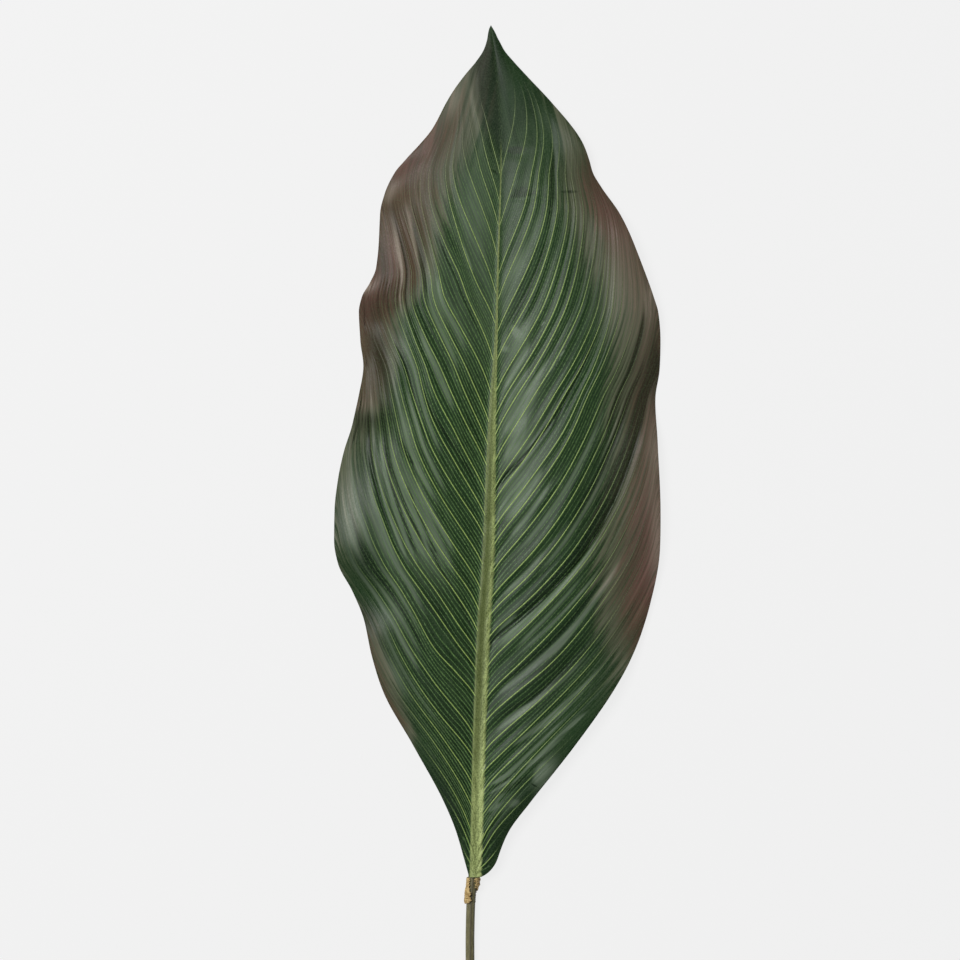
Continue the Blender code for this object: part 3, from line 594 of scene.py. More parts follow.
def through(points, at):
    """Value of the smooth curve through the points, which never overshoots them."""
    x, y = np.array(points, float).T
    run = np.diff(x)
    slope = np.diff(y) / run
    tangent = np.zeros_like(y)
    tangent[0], tangent[-1] = slope[0], slope[-1]
    same_way = slope[1:] * slope[:-1] > 0
    weight_a = run[:-1] + 2 * run[1:]
    weight_b = 2 * run[:-1] + run[1:]
    flat_safe = np.where(same_way, slope[:-1] * slope[1:], 1)
    mean = (weight_a + weight_b) * flat_safe / np.where(
        same_way, weight_a * slope[1:] + weight_b * slope[:-1], 1
    )
    tangent[1:-1] = np.where(same_way, mean, 0)
    at = np.clip(at, x[0], x[-1])
    i = np.clip(np.searchsorted(x, at, "right") - 1, 0, len(run) - 1)
    t = (at - x[i]) / run[i]
    rise = y[i] * (1 + 2 * t) * (1 - t) ** 2 + y[i + 1] * t * t * (3 - 2 * t)
    return rise + run[i] * (tangent[i] * t * (1 - t) ** 2 + tangent[i + 1] * t * t * (t - 1))


def ease(low, high, at):
    """0 below low, 1 above high, and a smooth step between."""
    t = np.clip((at - low) / (high - low), 0, 1)
    return t * t * (3 - 2 * t)


def half_width(along, side):
    return through(HALF_LEFT if side < 0 else HALF_RIGHT, along)


def vein_starts(side):
    return (0, *(VEINS_LEFT if side < 0 else VEINS_RIGHT), 1)


def between(places, lines, at):
    """Smooth value at a place between lines, one of which is given for each of the places."""
    places = np.array(places, float)
    last = len(places) - 1
    i = np.clip(np.searchsorted(places, at, "right") - 1, 0, last - 1)

    def line(k):
        return np.take_along_axis(lines, np.clip(k, 0, last)[None], 0)[0]

    def place(k):
        return places[np.clip(k, 0, last)]

    run = place(i + 1) - place(i)
    t = (at - place(i)) / run
    slope_a = (line(i + 1) - line(i - 1)) / (place(i + 1) - place(i - 1))
    slope_b = (line(i + 2) - line(i)) / (place(i + 2) - place(i))
    rise = line(i) * (1 + 2 * t) * (1 - t) ** 2 + line(i + 1) * t * t * (3 - 2 * t)
    return rise + run * (slope_a * t * (1 - t) ** 2 + slope_b * t * t * (t - 1))


def vein_bend(start, out, side):
    rows = np.array(BENDS_LEFT if side < 0 else BENDS_RIGHT)
    start, out = np.broadcast_arrays(start, out)
    lines = [through(rows[:, (0, k)], start) for k in range(1, rows.shape[1])]
    return between(BEND_PLACES, np.stack([np.zeros_like(start), *lines]), np.minimum(out, 1))


def on_vein(start, out, side):
    """Place (x, along) of the point `out` of the way from midrib to margin, on the vein that
    leaves the midrib at `start`."""
    bow = VEIN_BOW + VEIN_BOW_GAIN * np.maximum(0, start - VEIN_BOW_FROM)
    turned = 1 - (1 - np.minimum(out, CLIMB_END) ** VEIN_TURN) ** bow
    along = start + through(VEIN_CLIMB, start) * turned + vein_bend(start, out, side)
    along = along - through(VEIN_TUCK, start) * np.exp(-out / TUCK_REACH)
    along = np.clip(along, 0, 1) * BLADE_LENGTH
    return through(MIDRIB_X, along) + side * out * half_width(along, side), along


def section_height(along, across):
    """Height of the smooth skin stretched over the sections."""
    stations = [station for station, _ in SECTIONS]
    columns = [[heights[k] for _, heights in SECTIONS] for k in range(len(ACROSS))]
    lines = [through(list(zip(stations, column)), along) for column in columns]
    return between(ACROSS, np.stack(lines), across)


def swellings(table, x, along):
    """Sum of the long soft swellings of a table."""
    total = np.zeros_like(x)
    for middle_x, middle, heading, half_length, half_across, high in table:
        turn = np.radians(heading)
        dx, dy = x - middle_x, along - middle
        lengthwise = (dx * np.cos(turn) + dy * np.sin(turn)) / half_length
        crosswise = (dy * np.cos(turn) - dx * np.sin(turn)) / half_across
        total = total + high * np.exp(-(lengthwise**2) - crosswise**2)
    return total


def along_veins(table, start, out, side, inner_end, outer_end):
    """Sum of the creases or streaks of a table. The two ends fade over a part of their length."""
    total = np.zeros_like(start + out)
    for row_side, inner, outer, out_from, out_to, half_across, high in table:
        if row_side == side:
            length = out_to - out_from
            middle = inner + (outer - inner) * np.clip((out - out_from) / length, 0, 1)
            reach = ease(out_from, out_from + inner_end * length, out)
            reach = reach * (1 - ease(out_to - outer_end * length, out_to, out))
            total = total + high * np.exp(-(((start - middle) / half_across) ** 2)) * reach
    return total


def ripple_height(count, out, side):
    """Irregular fine pleats that follow the veins and come and go along them."""
    total = np.zeros_like(count + out)
    for waves, high, drift, phase in RIPPLES:
        turn = 2 * np.pi * (waves * count + drift * out) + phase + side
        swell = 0.6 + 0.4 * np.sin(0.9 * waves * count + 5 * out + 2 * phase)
        total = total + high * swell * np.sin(turn)
    return total * ease(*RIPPLES_GROW, out) * (1 - 0.5 * ease(*RIPPLES_FADE, out))


def lamina_top(start, out, side):
    """(x, along, height) of the lamina's upper face, without the midrib."""
    x, along = on_vein(start, out, side)
    left = side < 0
    high = section_height(along, side * out)
    high = high + through(WAVE_LEFT if left else WAVE_RIGHT, along) * ease(WAVE_FROM, 1, out) ** 1.2
    calm = 1 - CALMED * ease(*TIP_CALM, along)
    body = ease(*PLEATS_GROW, out) * (1 - 0.7 * ease(*PLEATS_FADE, out)) * calm
    high = high + through(PLEATS_LEFT if left else PLEATS_RIGHT, start) * body
    veins = vein_starts(side)
    count = np.interp(start, veins, np.arange(len(veins)))
    near = np.cos(2 * np.pi * count)
    fade = ease(*RIDGES_GROW, out) * (1 - ease(*RIDGES_FADE, out)) * (1 - ease(*RIDGES_END, start))
    high = high + VEIN_RIDGE * 0.5 * near * fade * calm
    high = high + swellings(FOLDS + FINE_FOLDS, x, along)
    high = high + along_veins(CREASES, start, out, side, 0.1, 0.3) * calm
    high = high + ripple_height(count, out, side) * (1 - ease(*RIPPLES_END, start)) * calm
    return x, along, np.maximum(high, LAMINA)


def blade_faces(start, out, side):
    """Upper and lower face of one half of the blade, midrib and keel included."""
    x, along, top = lamina_top(start, out, side)
    width = through(RIB_HALF_WIDTH, along)
    from_rib = out * half_width(along, side) / width
    round_top = np.maximum(0, 1 - from_rib**2)
    channel = 1 - through(RIB_CHANNEL, along) * round_top**2
    under = top - LAMINA
    keel = 1 - ease(KEEL_FLAT, 1.1, from_rib)
    under = under + (np.minimum(through(KEEL_UNDERSIDE, along), under) - under) * keel
    top = top + through(RIB_HEIGHT, along) * round_top * channel
    top = top - MARGIN_THINNED * ease(0.985, 1, out)
    return x, along, top, under, from_rib


def blade_grid(side):
    """Vein count, start on the midrib and way out to the margin for each vertex of one half."""
    veins = vein_starts(side)
    steps = np.arange((len(veins) - 1) * COLUMNS_PER_VEIN) / COLUMNS_PER_VEIN
    left, right = (np.interp(steps, np.arange(len(veins)), vein_starts(s)) for s in (-1, 1))
    starts = left if side < 0 else right
    rib = through(RIB_HALF_WIDTH, starts * BLADE_LENGTH) / half_width(starts * BLADE_LENGTH, side)
    rib = np.minimum(rib, 0.9)
    outs = [rib * row for row in np.linspace(0, 1, RIB_ROW_COUNT)]
    outs += [rib + (1 - rib) * row for row in np.linspace(0, 1, LAMINA_ROW_COUNT + 1)[1:]]
    start_rows = [0.5 * (left + right)] + [starts] * (len(outs) - 1)
    start_rows = np.stack(start_rows)
    counts = np.interp(start_rows, veins, np.arange(len(veins)))
    return counts, start_rows, np.stack(outs)


def fine_lines(start, side):
    """Count of the fine lines, a whole number of which lie between two veins."""
    veins = np.array(vein_starts(side))
    steps = np.maximum(2, np.round(np.diff(veins) / FINE_LINE_STEP))
    return np.interp(start, veins, np.concatenate([[0], np.cumsum(steps)]))


def bronze_cast(along, out, side):
    table = np.array(BRONZE_LEFT if side < 0 else BRONZE_RIGHT, float)
    begin, full, strength = (through(table[:, (0, k)], along) for k in (1, 2, 3))
    return ease(0, 1, (out - begin) / (full - begin)) * strength


def mauve_cast(along, out, side):
    total = np.zeros_like(along)
    for patch_side, middle, middle_out, half_length, half_across, strength in MAUVE:
        if patch_side == side:
            reach = ((along - middle) / half_length) ** 2 + ((out - middle_out) / half_across) ** 2
            total = total + strength * np.exp(-reach)
    return np.minimum(total, 1)


def line_pitch(x, along, counts):
    """Distance in mm between neighbouring lines at each vertex, square to the lines."""
    down, across = np.stack([np.gradient(x), np.gradient(along)], axis=1)
    across = across / np.gradient(counts, axis=1)
    square = np.abs(across[0] * down[1] - across[1] * down[0])
    return square / np.maximum(np.hypot(*down), 1e-6)


def object_from(mesh_or_curve, name):
    piece = bpy.data.objects.new(name, mesh_or_curve)
    bpy.context.scene.collection.objects.link(piece)
    return piece


def store(mesh, name, values):
    """Keep one number for each vertex under a name that the material reads."""
    mesh.attributes.new(name, "FLOAT", "POINT").data.foreach_set("value", np.asarray(values, np.float32))


def half_data(side):
    """Everything that the mesh of one half of the blade holds, as rows by columns."""
    counts, starts, outs = blade_grid(side)
    x, along, top, under, from_rib = blade_faces(starts, outs, side)
    rows = np.arange(len(outs))[:, None] + 0 * counts
    on_a_vein = (np.abs(counts - np.round(counts)) < 1e-6) & (counts > 0.5)
    end = through(VEIN_END, starts)
    kept = on_a_vein & (rows >= RIB_ROW_COUNT - 2) & (outs < end)
    lines = fine_lines(starts, side)
    thinner = 1 - 0.8 * ease(end - 0.2, end, outs)
    bronze = bronze_cast(along, outs, side)
    faint = 1 - 0.7 * np.clip(bronze * 1.4, 0, 1)
    for row_side, lost, stretch, way_out in FAINT_VEINS:
        if row_side == side:
            faint = faint * (1 - lost * ease(*stretch, along) * ease(*way_out, outs))

    # Pale tones (way 1) are pale streaks and painted highlights; dark tones (way -1) are darker places and
    # painted shade.
    def tones(way):
        streaks, shades = ([row for row in t if row[-1] * way > 0] for t in (STREAKS, SHADES))
        total = along_veins(streaks, starts, outs, side, 0.25, 0.25) + swellings(shades, x, along)
        return way * total

    return {
        "x": x + BASE[0],
        "y": along + BASE[1],
        "top": top,
        "under": under,
        "count": counts,
        "out": side * outs,
        "vein_pitch": line_pitch(x, along, counts),
        "fine_lines": lines,
        "fine_pitch": line_pitch(x, along, lines),
        "across_rib": side * from_rib,
        "bronze": bronze,
        "mauve": mauve_cast(along, outs, side),
        "bloom": tones(1),
        "shade": tones(-1),
        "tipward": ease(*TIP_STREAKS, along),
        "rib_tone": through(RIB_TONE, along),
        "rib_shown": through(RIB_SHOWN, along),
        "rib_narrowed": ease(*RIB_NARROWS, along),
        "vein_line": kept.astype(float),
        "vein_width": through(VEIN_HALF_WIDTH, outs) * thinner * (0.6 + 0.4 * faint),
        "vein_fade": through(VEIN_FADE, outs) * through(VEIN_FADE_TO_TIP, starts) * thinner * faint,
    }


def make_blade():
    """Closed blade: two faces with the same cells, joined round the margin and at the base."""
    halves = {side: half_data(side) for side in (-1, 1)}
    whole = {
        key: np.concatenate([halves[-1][key][::-1], halves[1][key][1:]]) for key in halves[1]
    }
    rows, columns = whole["x"].shape
    sheet = rows * columns + 1
    tip_x = through(MIDRIB_X, BLADE_LENGTH) + BASE[0]
    tip_y = BLADE_LENGTH + BASE[1]

    def with_tip(values, at_tip):
        return np.append(values.ravel(), at_tip)

    x, y = with_tip(whole["x"], tip_x), with_tip(whole["y"], tip_y)
    top, under = with_tip(whole["top"], LAMINA), with_tip(whole["under"], 0)
    points = np.concatenate([np.stack([x, y, z], 1) for z in (top, under)]) * MM

    index = np.arange(rows * columns).reshape(rows, columns)
    tip = sheet - 1
    cells = np.stack([index[:-1, :-1], index[1:, :-1], index[1:, 1:], index[:-1, 1:]], -1)
    fan = np.stack([index[:-1, -1], index[1:, -1], np.full(rows - 1, tip)], -1)
    upper = [*cells.reshape(-1, 4).tolist(), *fan.tolist()]
    lower = [[corner + sheet for corner in face[::-1]] for face in upper]
    left_edge = [*index[0].tolist(), tip]
    right_edge = [*index[-1].tolist(), tip]
    base_edge = index[:, 0].tolist()
    walls = []
    for edge in (left_edge[::-1], base_edge, right_edge):
        walls += [[a, a + sheet, b + sheet, b] for a, b in zip(edge, edge[1:])]
    mesh = bpy.data.meshes.new("blade")
    mesh.from_pydata(points.tolist(), [], upper + lower + walls)

    for key in SPREAD:
        store(mesh, key, np.tile(with_tip(whole[key], whole[key][0, -1]), 2))
    store(mesh, "vein_line", np.append(with_tip(whole["vein_line"], 0), np.zeros(sheet)))
    place = np.stack([with_tip(whole["count"], whole["count"].max()), with_tip(whole["out"], 0)], 1)
    place = np.tile(place, (2, 1))
    corner = np.zeros(len(mesh.loops), np.int64)
    mesh.loops.foreach_get("vertex_index", corner)
    uv = place[corner].astype(np.float32)
    mesh.uv_layers.new(name="veins").data.foreach_set("uv", uv.ravel())

    mesh.materials.append(leaf_green())
    mesh.materials.append(leaf_underside())
    faces_up = len(upper)
    slots = np.zeros(len(mesh.polygons), np.int32)
    slots[faces_up : 2 * faces_up] = 1
    mesh.polygons.foreach_set("material_index", slots)
    mesh.shade_smooth()
    mesh.set_sharp_from_angle(angle=np.radians(SHARP_ANGLE))
    mesh.validate()
    return object_from(mesh, "blade")


class Value:
    """Output of a node, to be reckoned with like a number."""

    def __init__(self, nodes, socket):
        self.nodes = nodes
        self.socket = socket

    def __add__(self, other):
        return self.nodes.math("ADD", self, other)

    def __sub__(self, other):
        return self.nodes.math("SUBTRACT", self, other)

    def __rsub__(self, other):
        return self.nodes.math("SUBTRACT", other, self)

    def __mul__(self, other):
        return self.nodes.math("MULTIPLY", self, other)

    def __truediv__(self, other):
        return self.nodes.math("DIVIDE", self, other)

    def __abs__(self):
        return self.nodes.math("ABSOLUTE", self)

    __radd__ = __add__
    __rmul__ = __mul__


class Nodes:
    """A node tree in the making."""

    def put(self, socket, value):
        """Link a value to a socket, or set it. A colour comes without its alpha."""
        if isinstance(value, Value):
            self.tree.links.new(value.socket, socket)
        elif isinstance(value, tuple):
            wanted = len(socket.default_value)
            socket.default_value = value + (1,) * (wanted - len(value))
        else:
            socket.default_value = value

    def node(self, kind, inputs=(), **settings):
        node = self.tree.nodes.new(kind)
        for key, value in settings.items():
            setattr(node, key, value)
        for key, value in dict(inputs).items():
            self.put(node.inputs[key], value)
        return node

    def value(self, kind, inputs=(), output=0, **settings):
        """What one output of a new node gives."""
        return Value(self, self.node(kind, inputs, **settings).outputs[output])

    def math(self, operation, a, b=0.0):
        return self.value("ShaderNodeMath", {0: a, 1: b}, operation=operation)

    def split(self, vector):
        node = self.node("ShaderNodeSeparateXYZ", {0: vector})
        return [Value(self, output) for output in node.outputs]

    def vector(self, x, y, z=0.0):
        return self.value("ShaderNodeCombineXYZ", {0: x, 1: y, 2: z})


class Shader(Nodes):
    """A material in the making."""

    def __init__(self, name):
        self.material = bpy.data.materials.new(name)
        self.material.use_nodes = True
        self.tree = self.material.node_tree
        self.surface = self.tree.nodes["Principled BSDF"].inputs

    def map(self, value, low, high, to_low=0.0, to_high=1.0):
        """Smooth step from to_low at low to to_high at high."""
        inputs = {"Value": value, "From Min": low, "From Max": high, "To Min": to_low, "To Max": to_high}
        return self.value("ShaderNodeMapRange", inputs, interpolation_type="SMOOTHSTEP")

    def mix(self, factor, a, b):
        return self.value("ShaderNodeMix", {0: factor, 6: a, 7: b}, 2, data_type="RGBA")

    def mottled(self, noise, tones):
        """Colour that wanders between two tones with a noise."""
        return self.mix(self.map(noise, 0.3, 0.7), *tones)

    def attribute(self, name):
        return self.value("ShaderNodeAttribute", output="Fac", attribute_name=name)

    def here(self, scale=(1, 1, 1)):
        """Object coordinates, stretched."""
        place = self.value("ShaderNodeTexCoord", output="Object")
        return self.value("ShaderNodeMapping", {"Vector": place, "Scale": scale})

    def noise(self, at, scale, detail=2.0, roughness=0.5):
        inputs = {"Vector": at, "Scale": scale, "Detail": detail, "Roughness": roughness}
        return self.value("ShaderNodeTexNoise", inputs, "Fac")

    def strokes(self, table):
        """Sum of the tones of short strokes on the blade, each a long ellipse with soft edges."""
        total = 0.0
        place = self.here()
        for x, along, heading, half_length, half_width, tone in table:
            inputs = {
                "Vector": place,
                "Location": ((x + BASE[0]) * MM, (along + BASE[1]) * MM, 0),
                "Rotation": (0, 0, float(np.radians(heading))),
                "Scale": (half_length * MM, half_width * MM, 1),
            }
            inside = self.value("ShaderNodeMapping", inputs, vector_type="TEXTURE")
            from_middle = self.value("ShaderNodeVectorMath", {0: inside}, "Value", operation="LENGTH")
            total = total + self.map(from_middle, *STROKE_EDGE, tone, 0)
        return total

    def finish(self, colour, roughness, height=None, depth=0.0002, strength=0.5, specular=0.5):
        self.put(self.surface["Base Color"], colour)
        self.put(self.surface["Roughness"], roughness)
        self.surface["Metallic"].default_value = 0
        self.surface["Specular IOR Level"].default_value = specular
        if height is not None:
            inputs = {"Strength": strength, "Distance": depth, "Height": height}
            self.put(self.surface["Normal"], self.value("ShaderNodeBump", inputs))
        return self.material


def vein_marks(shader):
    """Soft masks of the veins and of the fine lines between them, and the streaks beside them."""
    count, out, _ = shader.split(shader.value("ShaderNodeUVMap", uv_map="veins"))
    lines = shader.attribute("fine_lines")
    vein_pitch = shader.attribute("vein_pitch")
    fine_pitch = shader.attribute("fine_pitch")
    vein = shader.map(shader.math("PINGPONG", count, 0.5) * vein_pitch, *VEIN_EDGE, 1, 0)
    sway = (shader.noise(shader.vector(lines * 0.7, out * 7), 1, 1) - 0.5) * LINE_SWAY
    from_line = shader.math("PINGPONG", lines + sway, 0.5) * fine_pitch
    width = shader.math("MINIMUM", fine_pitch * 0.3, LINE_WIDTH)
    line = shader.map(from_line / width, 0.2, 1.0, 1, 0) * shader.map(fine_pitch, 0.3, 1.2, 0.2, 1)
    dots = shader.noise(shader.vector(lines * 3, out * 130), 1, 1)
    line = line * shader.map(dots, 0.35, 0.65, 0.15, 1)
    streaks = shader.noise(shader.vector(count * 5, out * 5), 1, 4, 0.65)
    streaks = (streaks - 0.5) * shader.map(vein_pitch, 2, 7, 0.15, 1) + 0.5
    x, y, _ = shader.split(shader.here())
    bands = shader.noise(shader.vector((abs(x) + y * 0.25) * 240, y * 10), 1, 3, 0.6)
    return vein, line, streaks + (bands - streaks) * shader.attribute("tipward")


def lamina_green(shader, streaks, line, grain):
    """Dark green with pale streaks and painted highlights, dark streaks and painted shade, and brown
    towards the margins.
    """
    bloom = shader.attribute("bloom") + shader.strokes(HIGHLIGHTS)
    shade = shader.attribute("shade") + shader.strokes(WRINKLE_SHADE)
    cloud = shader.noise(shader.here(), 28, 2)
    green = shader.mix(shader.map(cloud, 0.35, 0.7, 0, 0.45), shader.mottled(streaks, GREENS), CLOUDY_GREEN)
    brown, reddish = shader.mottled(streaks, BROWNS), shader.mottled(streaks, REDS)
    brown = shader.mix(shader.attribute("mauve"), brown, reddish)
    brown_part = shader.map(shader.attribute("bronze") + streaks - 0.5, 0.0, 1.0)
    lamina = shader.mix(shader.map(brown_part, 0.0, 0.5), green, shader.mottled(streaks, OLIVES))
    lamina = shader.mix(shader.map(brown_part, 0.5, 1.0), lamina, brown)
    uneven = ((streaks - 0.5) * 1.4 + 0.78) * shader.map(line, 0, 1, 1, 0.65)
    # Pale streaks and painted highlights are mixed in first, then darker places and painted shade.
    pale_part = shader.map(bloom, 0.0, 0.85, 0, 0.92) * uneven
    lamina = shader.mix(pale_part, lamina, shader.mix(brown_part, *PALE_TONES))
    # Painted shade in creases, folds and wrinkles, together with darker places of the leaf.
    dark_part = shader.map(shade, 0.0, 0.9, 0, 0.9)
    lamina = shader.mix(dark_part, lamina, shader.mix(brown_part, *DARK_TONES))
    return shader.mix(shader.map(grain, 0.4, 0.72, 0, 0.26), lamina, WOVEN_GRAIN)


def midrib_green(shader, across, lines, speckle):
    """Olive on the left of the midrib, pale and feathery on its right, speckled all over. The darker
    left and paler right are painted shade and painted highlight on the two walls of its channel.
    """
    strokes = shader.noise(shader.vector(lines * 1.6, across), 1, 2)
    fibres = shader.noise(shader.vector(across * 5, lines * 0.12), 1, 2)
    left_edge = shader.map(abs(across + 0.9), 0.04, 0.2, 0.35, 0)
    # Paler towards the right: painted highlight on the lit wall of the channel, painted shade on its left
    # wall.
    base = (shader.map(across, -0.1, 0.85) + left_edge) * 0.65 + shader.attribute("rib_tone")
    rough = shader.map(speckle, 0.3, 0.7, 0.35, 1) + shader.map(strokes, 0.35, 0.65, -0.15, 0.15)
    rough = rough + shader.map(fibres, 0.35, 0.65, -0.12, 0.1)
    return shader.mix(base * rough, *MIDRIB_TONES)


def leaf_green():
    """Upper face: dark satin green, brown towards the margins, with the speckled pale midrib."""
    shader = Shader("leaf_green")
    vein, line, streaks = vein_marks(shader)
    fade = shader.attribute("vein_fade")
    across = shader.attribute("across_rib")
    lines = shader.attribute("fine_lines")
    grain = shader.noise(shader.here(), 1300, 2, 0.6)
    lamina = lamina_green(shader, streaks, line, grain)

    near_rib = shader.map(abs(across), 1.0, 3.2, 0.4, 0)
    line_strength = fade * shader.map(across, -0.5, 0.5, 0.9, 0.6) + near_rib + 0.12
    lamina = shader.mix(line * line_strength, lamina, FINE_LINE_GREEN)
    lamina = shader.mix(vein * fade * 0.8, lamina, VEIN_GREEN)

    speckle = shader.noise(shader.here((1, 0.7, 1)), 1300, 3, 0.7)
    rib = midrib_green(shader, across, lines, speckle)
    frayed = shader.noise(shader.vector(lines * 1.6, 0.0), 1, 1)
    edge = abs(across) + (speckle - 0.5) * 0.7 + (frayed - 0.5) * shader.map(across, -1, 1, 0.2, 0.9)
    edge = edge * (shader.attribute("rib_narrowed") * 0.55 + 1)
    rib_part = shader.map(edge, 0.75, 1.15, 1, 0) * shader.attribute("rib_shown")
    colour = shader.mix(rib_part, lamina, rib)

    roughness = shader.map(grain, 0.3, 0.7, 0.32, 0.46) + shader.attribute("bronze") * 0.05
    height = grain * 0.6 + line * 0.5
    return shader.finish(colour, roughness, height, depth=0.0001, strength=0.45, specular=0.14)


def leaf_underside():
    """Lower face: duller and paler, with the veins showing as lines."""
    shader = Shader("leaf_underside")
    vein, line, streaks = vein_marks(shader)
    grain = shader.noise(shader.here(), 900, 2, 0.6)
    lamina = shader.mottled(streaks, UNDER_GREENS)
    lamina = shader.mix(shader.attribute("bronze") * 0.6, lamina, UNDER_BROWN)
    lamina = shader.mix(line * 0.3, lamina, UNDER_LINE)
    lamina = shader.mix(vein * 0.7, lamina, UNDER_VEIN)
    keel = shader.map(abs(shader.attribute("across_rib")), 0.9, 1.3, 1, 0)
    colour = shader.mix(keel, lamina, shader.mix(grain, *KEEL_TONES))
    return shader.finish(colour, shader.map(grain, 0.3, 0.7, 0.55, 0.7), grain, depth=0.0001)


def vein_green():
    """Raised veins: yellow-green, duller and browner as they fade."""
    shader = Shader("vein_green")
    speckle = shader.noise(shader.here(), 900, 2, 0.6)
    dull = shader.mix(shader.attribute("bronze"), shader.mottled(speckle, DULL_VEINS), BROWN_VEIN)
    colour = shader.mix(shader.attribute("vein_fade"), dull, shader.mottled(speckle, BRIGHT_VEINS))
    return shader.finish(colour, 0.5, speckle, depth=0.0001)


def stalk_olive():
    """Stalk: olive strip on the left, dark groove, paler strip and dark edge on the right."""
    shader = Shader("stalk_olive")
    side = shader.attribute("stalk_side")
    length = shader.attribute("stalk_length")
    fibres = shader.noise(shader.vector(side * 9, length * 30), 1, 4, 0.65)
    spots = shader.noise(shader.here((1, 0.3, 1)), 700, 3, 0.6)
    groove = shader.map(abs(side - GROOVE_SIDEWAYS), 0.05, 0.3, 1, 0)
    olive = shader.mix(groove * 0.8, shader.mottled(fibres, STALK_TONES), GROOVE_DARK)
    olive = shader.mix(shader.map(side, 0.6, 0.95, 0, 0.6), olive, STALK_EDGE)
    colour = shader.mix(shader.map(spots, 0.55, 0.8, 0, 0.35), olive, STALK_SPOT)
    height = fibres + spots * 0.4
    return shader.finish(colour, shader.map(spots, 0.3, 0.7, 0.5, 0.7), height, depth=0.0003)


def dry_brown():
    """Torn wrap: golden brown and papery, in darker and paler patches."""
    shader = Shader("dry_brown")
    patches = shader.noise(shader.here(), 420, 4, 0.65)
    grain = shader.noise(shader.here((1, 0.35, 1)), 1500, 3, 0.65)
    brown = shader.mix(shader.map(patches, 0.35, 0.68), *WRAP_TONES)
    colour = shader.mix(shader.map(grain, 0.4, 0.75, 0, 0.5), brown, WRAP_GRAIN)
    height = patches + grain * 0.5
    return shader.finish(colour, shader.map(grain, 0.3, 0.7, 0.6, 0.8), height, depth=0.0006, strength=0.7)


class Geometry(Nodes):
    """A Geometry Nodes tree in the making, with named inputs for its sizes."""

    def __init__(self, name):
        self.tree = bpy.data.node_groups.new(name, "GeometryNodeTree")
        for way in ("INPUT", "OUTPUT"):
            self.tree.interface.new_socket("Geometry", in_out=way, socket_type="NodeSocketGeometry")
        self.start = self.tree.nodes.new("NodeGroupInput")
        self.end = self.tree.nodes.new("NodeGroupOutput")
        self.carrier = Value(self, self.start.outputs[0])
        self.sizes = {}

    def size(self, name, value, kind="Float"):
        """A named input, and the value that this piece gives it."""
        socket = self.tree.interface.new_socket(name, in_out="INPUT", socket_type="NodeSocket" + kind)
        self.sizes[socket.identifier] = value
        return Value(self, self.start.outputs[name])

    def named(self, name):
        return self.value("GeometryNodeInputNamedAttribute", {"Name": name}, data_type="FLOAT")

    def keep(self, geometry, name, value):
        """Store one number for each point under a name that the material reads."""
        inputs = {"Geometry": geometry, "Name": name, "Value": value}
        return self.value("GeometryNodeStoreNamedAttribute", inputs, data_type="FLOAT", domain="POINT")

    def captured(self, geometry, name, value):
        """The geometry, and the value that its points have before anything moves them."""
        node = self.node("GeometryNodeCaptureAttribute", {0: geometry})
        node.capture_items.new("FLOAT", name)
        self.put(node.inputs[1], value)
        return Value(self, node.outputs[0]), Value(self, node.outputs[1])

    def circle(self, sides):
        return self.value("GeometryNodeCurvePrimitiveCircle", {"Resolution": sides, "Radius": 1.0})

    def sweep(self, path, profile, scale):
        inputs = {"Curve": path, "Profile Curve": profile, "Scale": scale, "Fill Caps": True}
        return self.value("GeometryNodeCurveToMesh", inputs)

    def finish(self, geometry, material):
        real = self.value("GeometryNodeRealizeInstances", {0: geometry})
        smooth = self.value("GeometryNodeSetShadeSmooth", {0: real})
        painted = self.value("GeometryNodeSetMaterial", {"Geometry": smooth, "Material": material})
        self.put(self.end.inputs[0], painted)

    def run(self, carrier, name):
        """Plain mesh piece that the tree makes from the carrier's geometry."""
        worker = carrier.copy()
        bpy.context.scene.collection.objects.link(worker)
        modifier = worker.modifiers.new("tree", "NODES")
        modifier.node_group = self.tree
        for identifier, value in self.sizes.items():
            modifier[identifier] = value
        graph = bpy.context.evaluated_depsgraph_get()
        mesh = bpy.data.meshes.new_from_object(worker.evaluated_get(graph), depsgraph=graph)
        bpy.data.objects.remove(worker)
        mesh.name = name
        return object_from(mesh, name)


def make_veins(blade):
    """Raised side veins, swept along the blade's own mesh lines."""
    geometry = Geometry("side_veins")
    proud = geometry.size("Height over width", VEIN_PROUD)
    sides = geometry.size("Sides", VEIN_SIDES, "Int")
    marks = {0: geometry.named("vein_line"), 1: 0.5}
    on_a_vein = geometry.value("FunctionNodeCompare", marks, operation="GREATER_THAN")
    wanted = {0: geometry.carrier, 1: on_a_vein}
    lines = geometry.value("GeometryNodeSeparateGeometry", wanted, domain="POINT")
    curves = geometry.value("GeometryNodeMeshToCurve", {0: lines})
    upright = geometry.value("GeometryNodeSetCurveNormal", {0: curves}, mode="Z_UP")
    width = geometry.named("vein_width") * MM
    thick = geometry.value("GeometryNodeSetCurveRadius", {"Curve": upright, "Radius": width})
    flattened = {"Geometry": geometry.circle(sides), "Scale": geometry.vector(1.0, proud, 1.0)}
    profile = geometry.value("GeometryNodeTransform", flattened)
    geometry.finish(geometry.sweep(thick, profile, width), vein_green())
    return geometry.run(blade, "side_veins")


def stem_middle():
    """Points and widths along the stalk's middle line, from its cut end to under the blade."""
    path = np.array(STEM_PATH, float)
    along = np.linspace(path[0, 1], path[-1, 1], STEM_RINGS)
    x = through(path[:, (1, 0)], along) + BASE[0] + through(MIDRIB_X, 0.0)
    z = through(path[:, (1, 2)], along)
    taper = 1 - (1 - STEM_TAPER_TO) * ease(STEM_TAPER_FROM, path[-1, 1], along)
    return np.column_stack([x, along + BASE[1], z]) * MM, taper


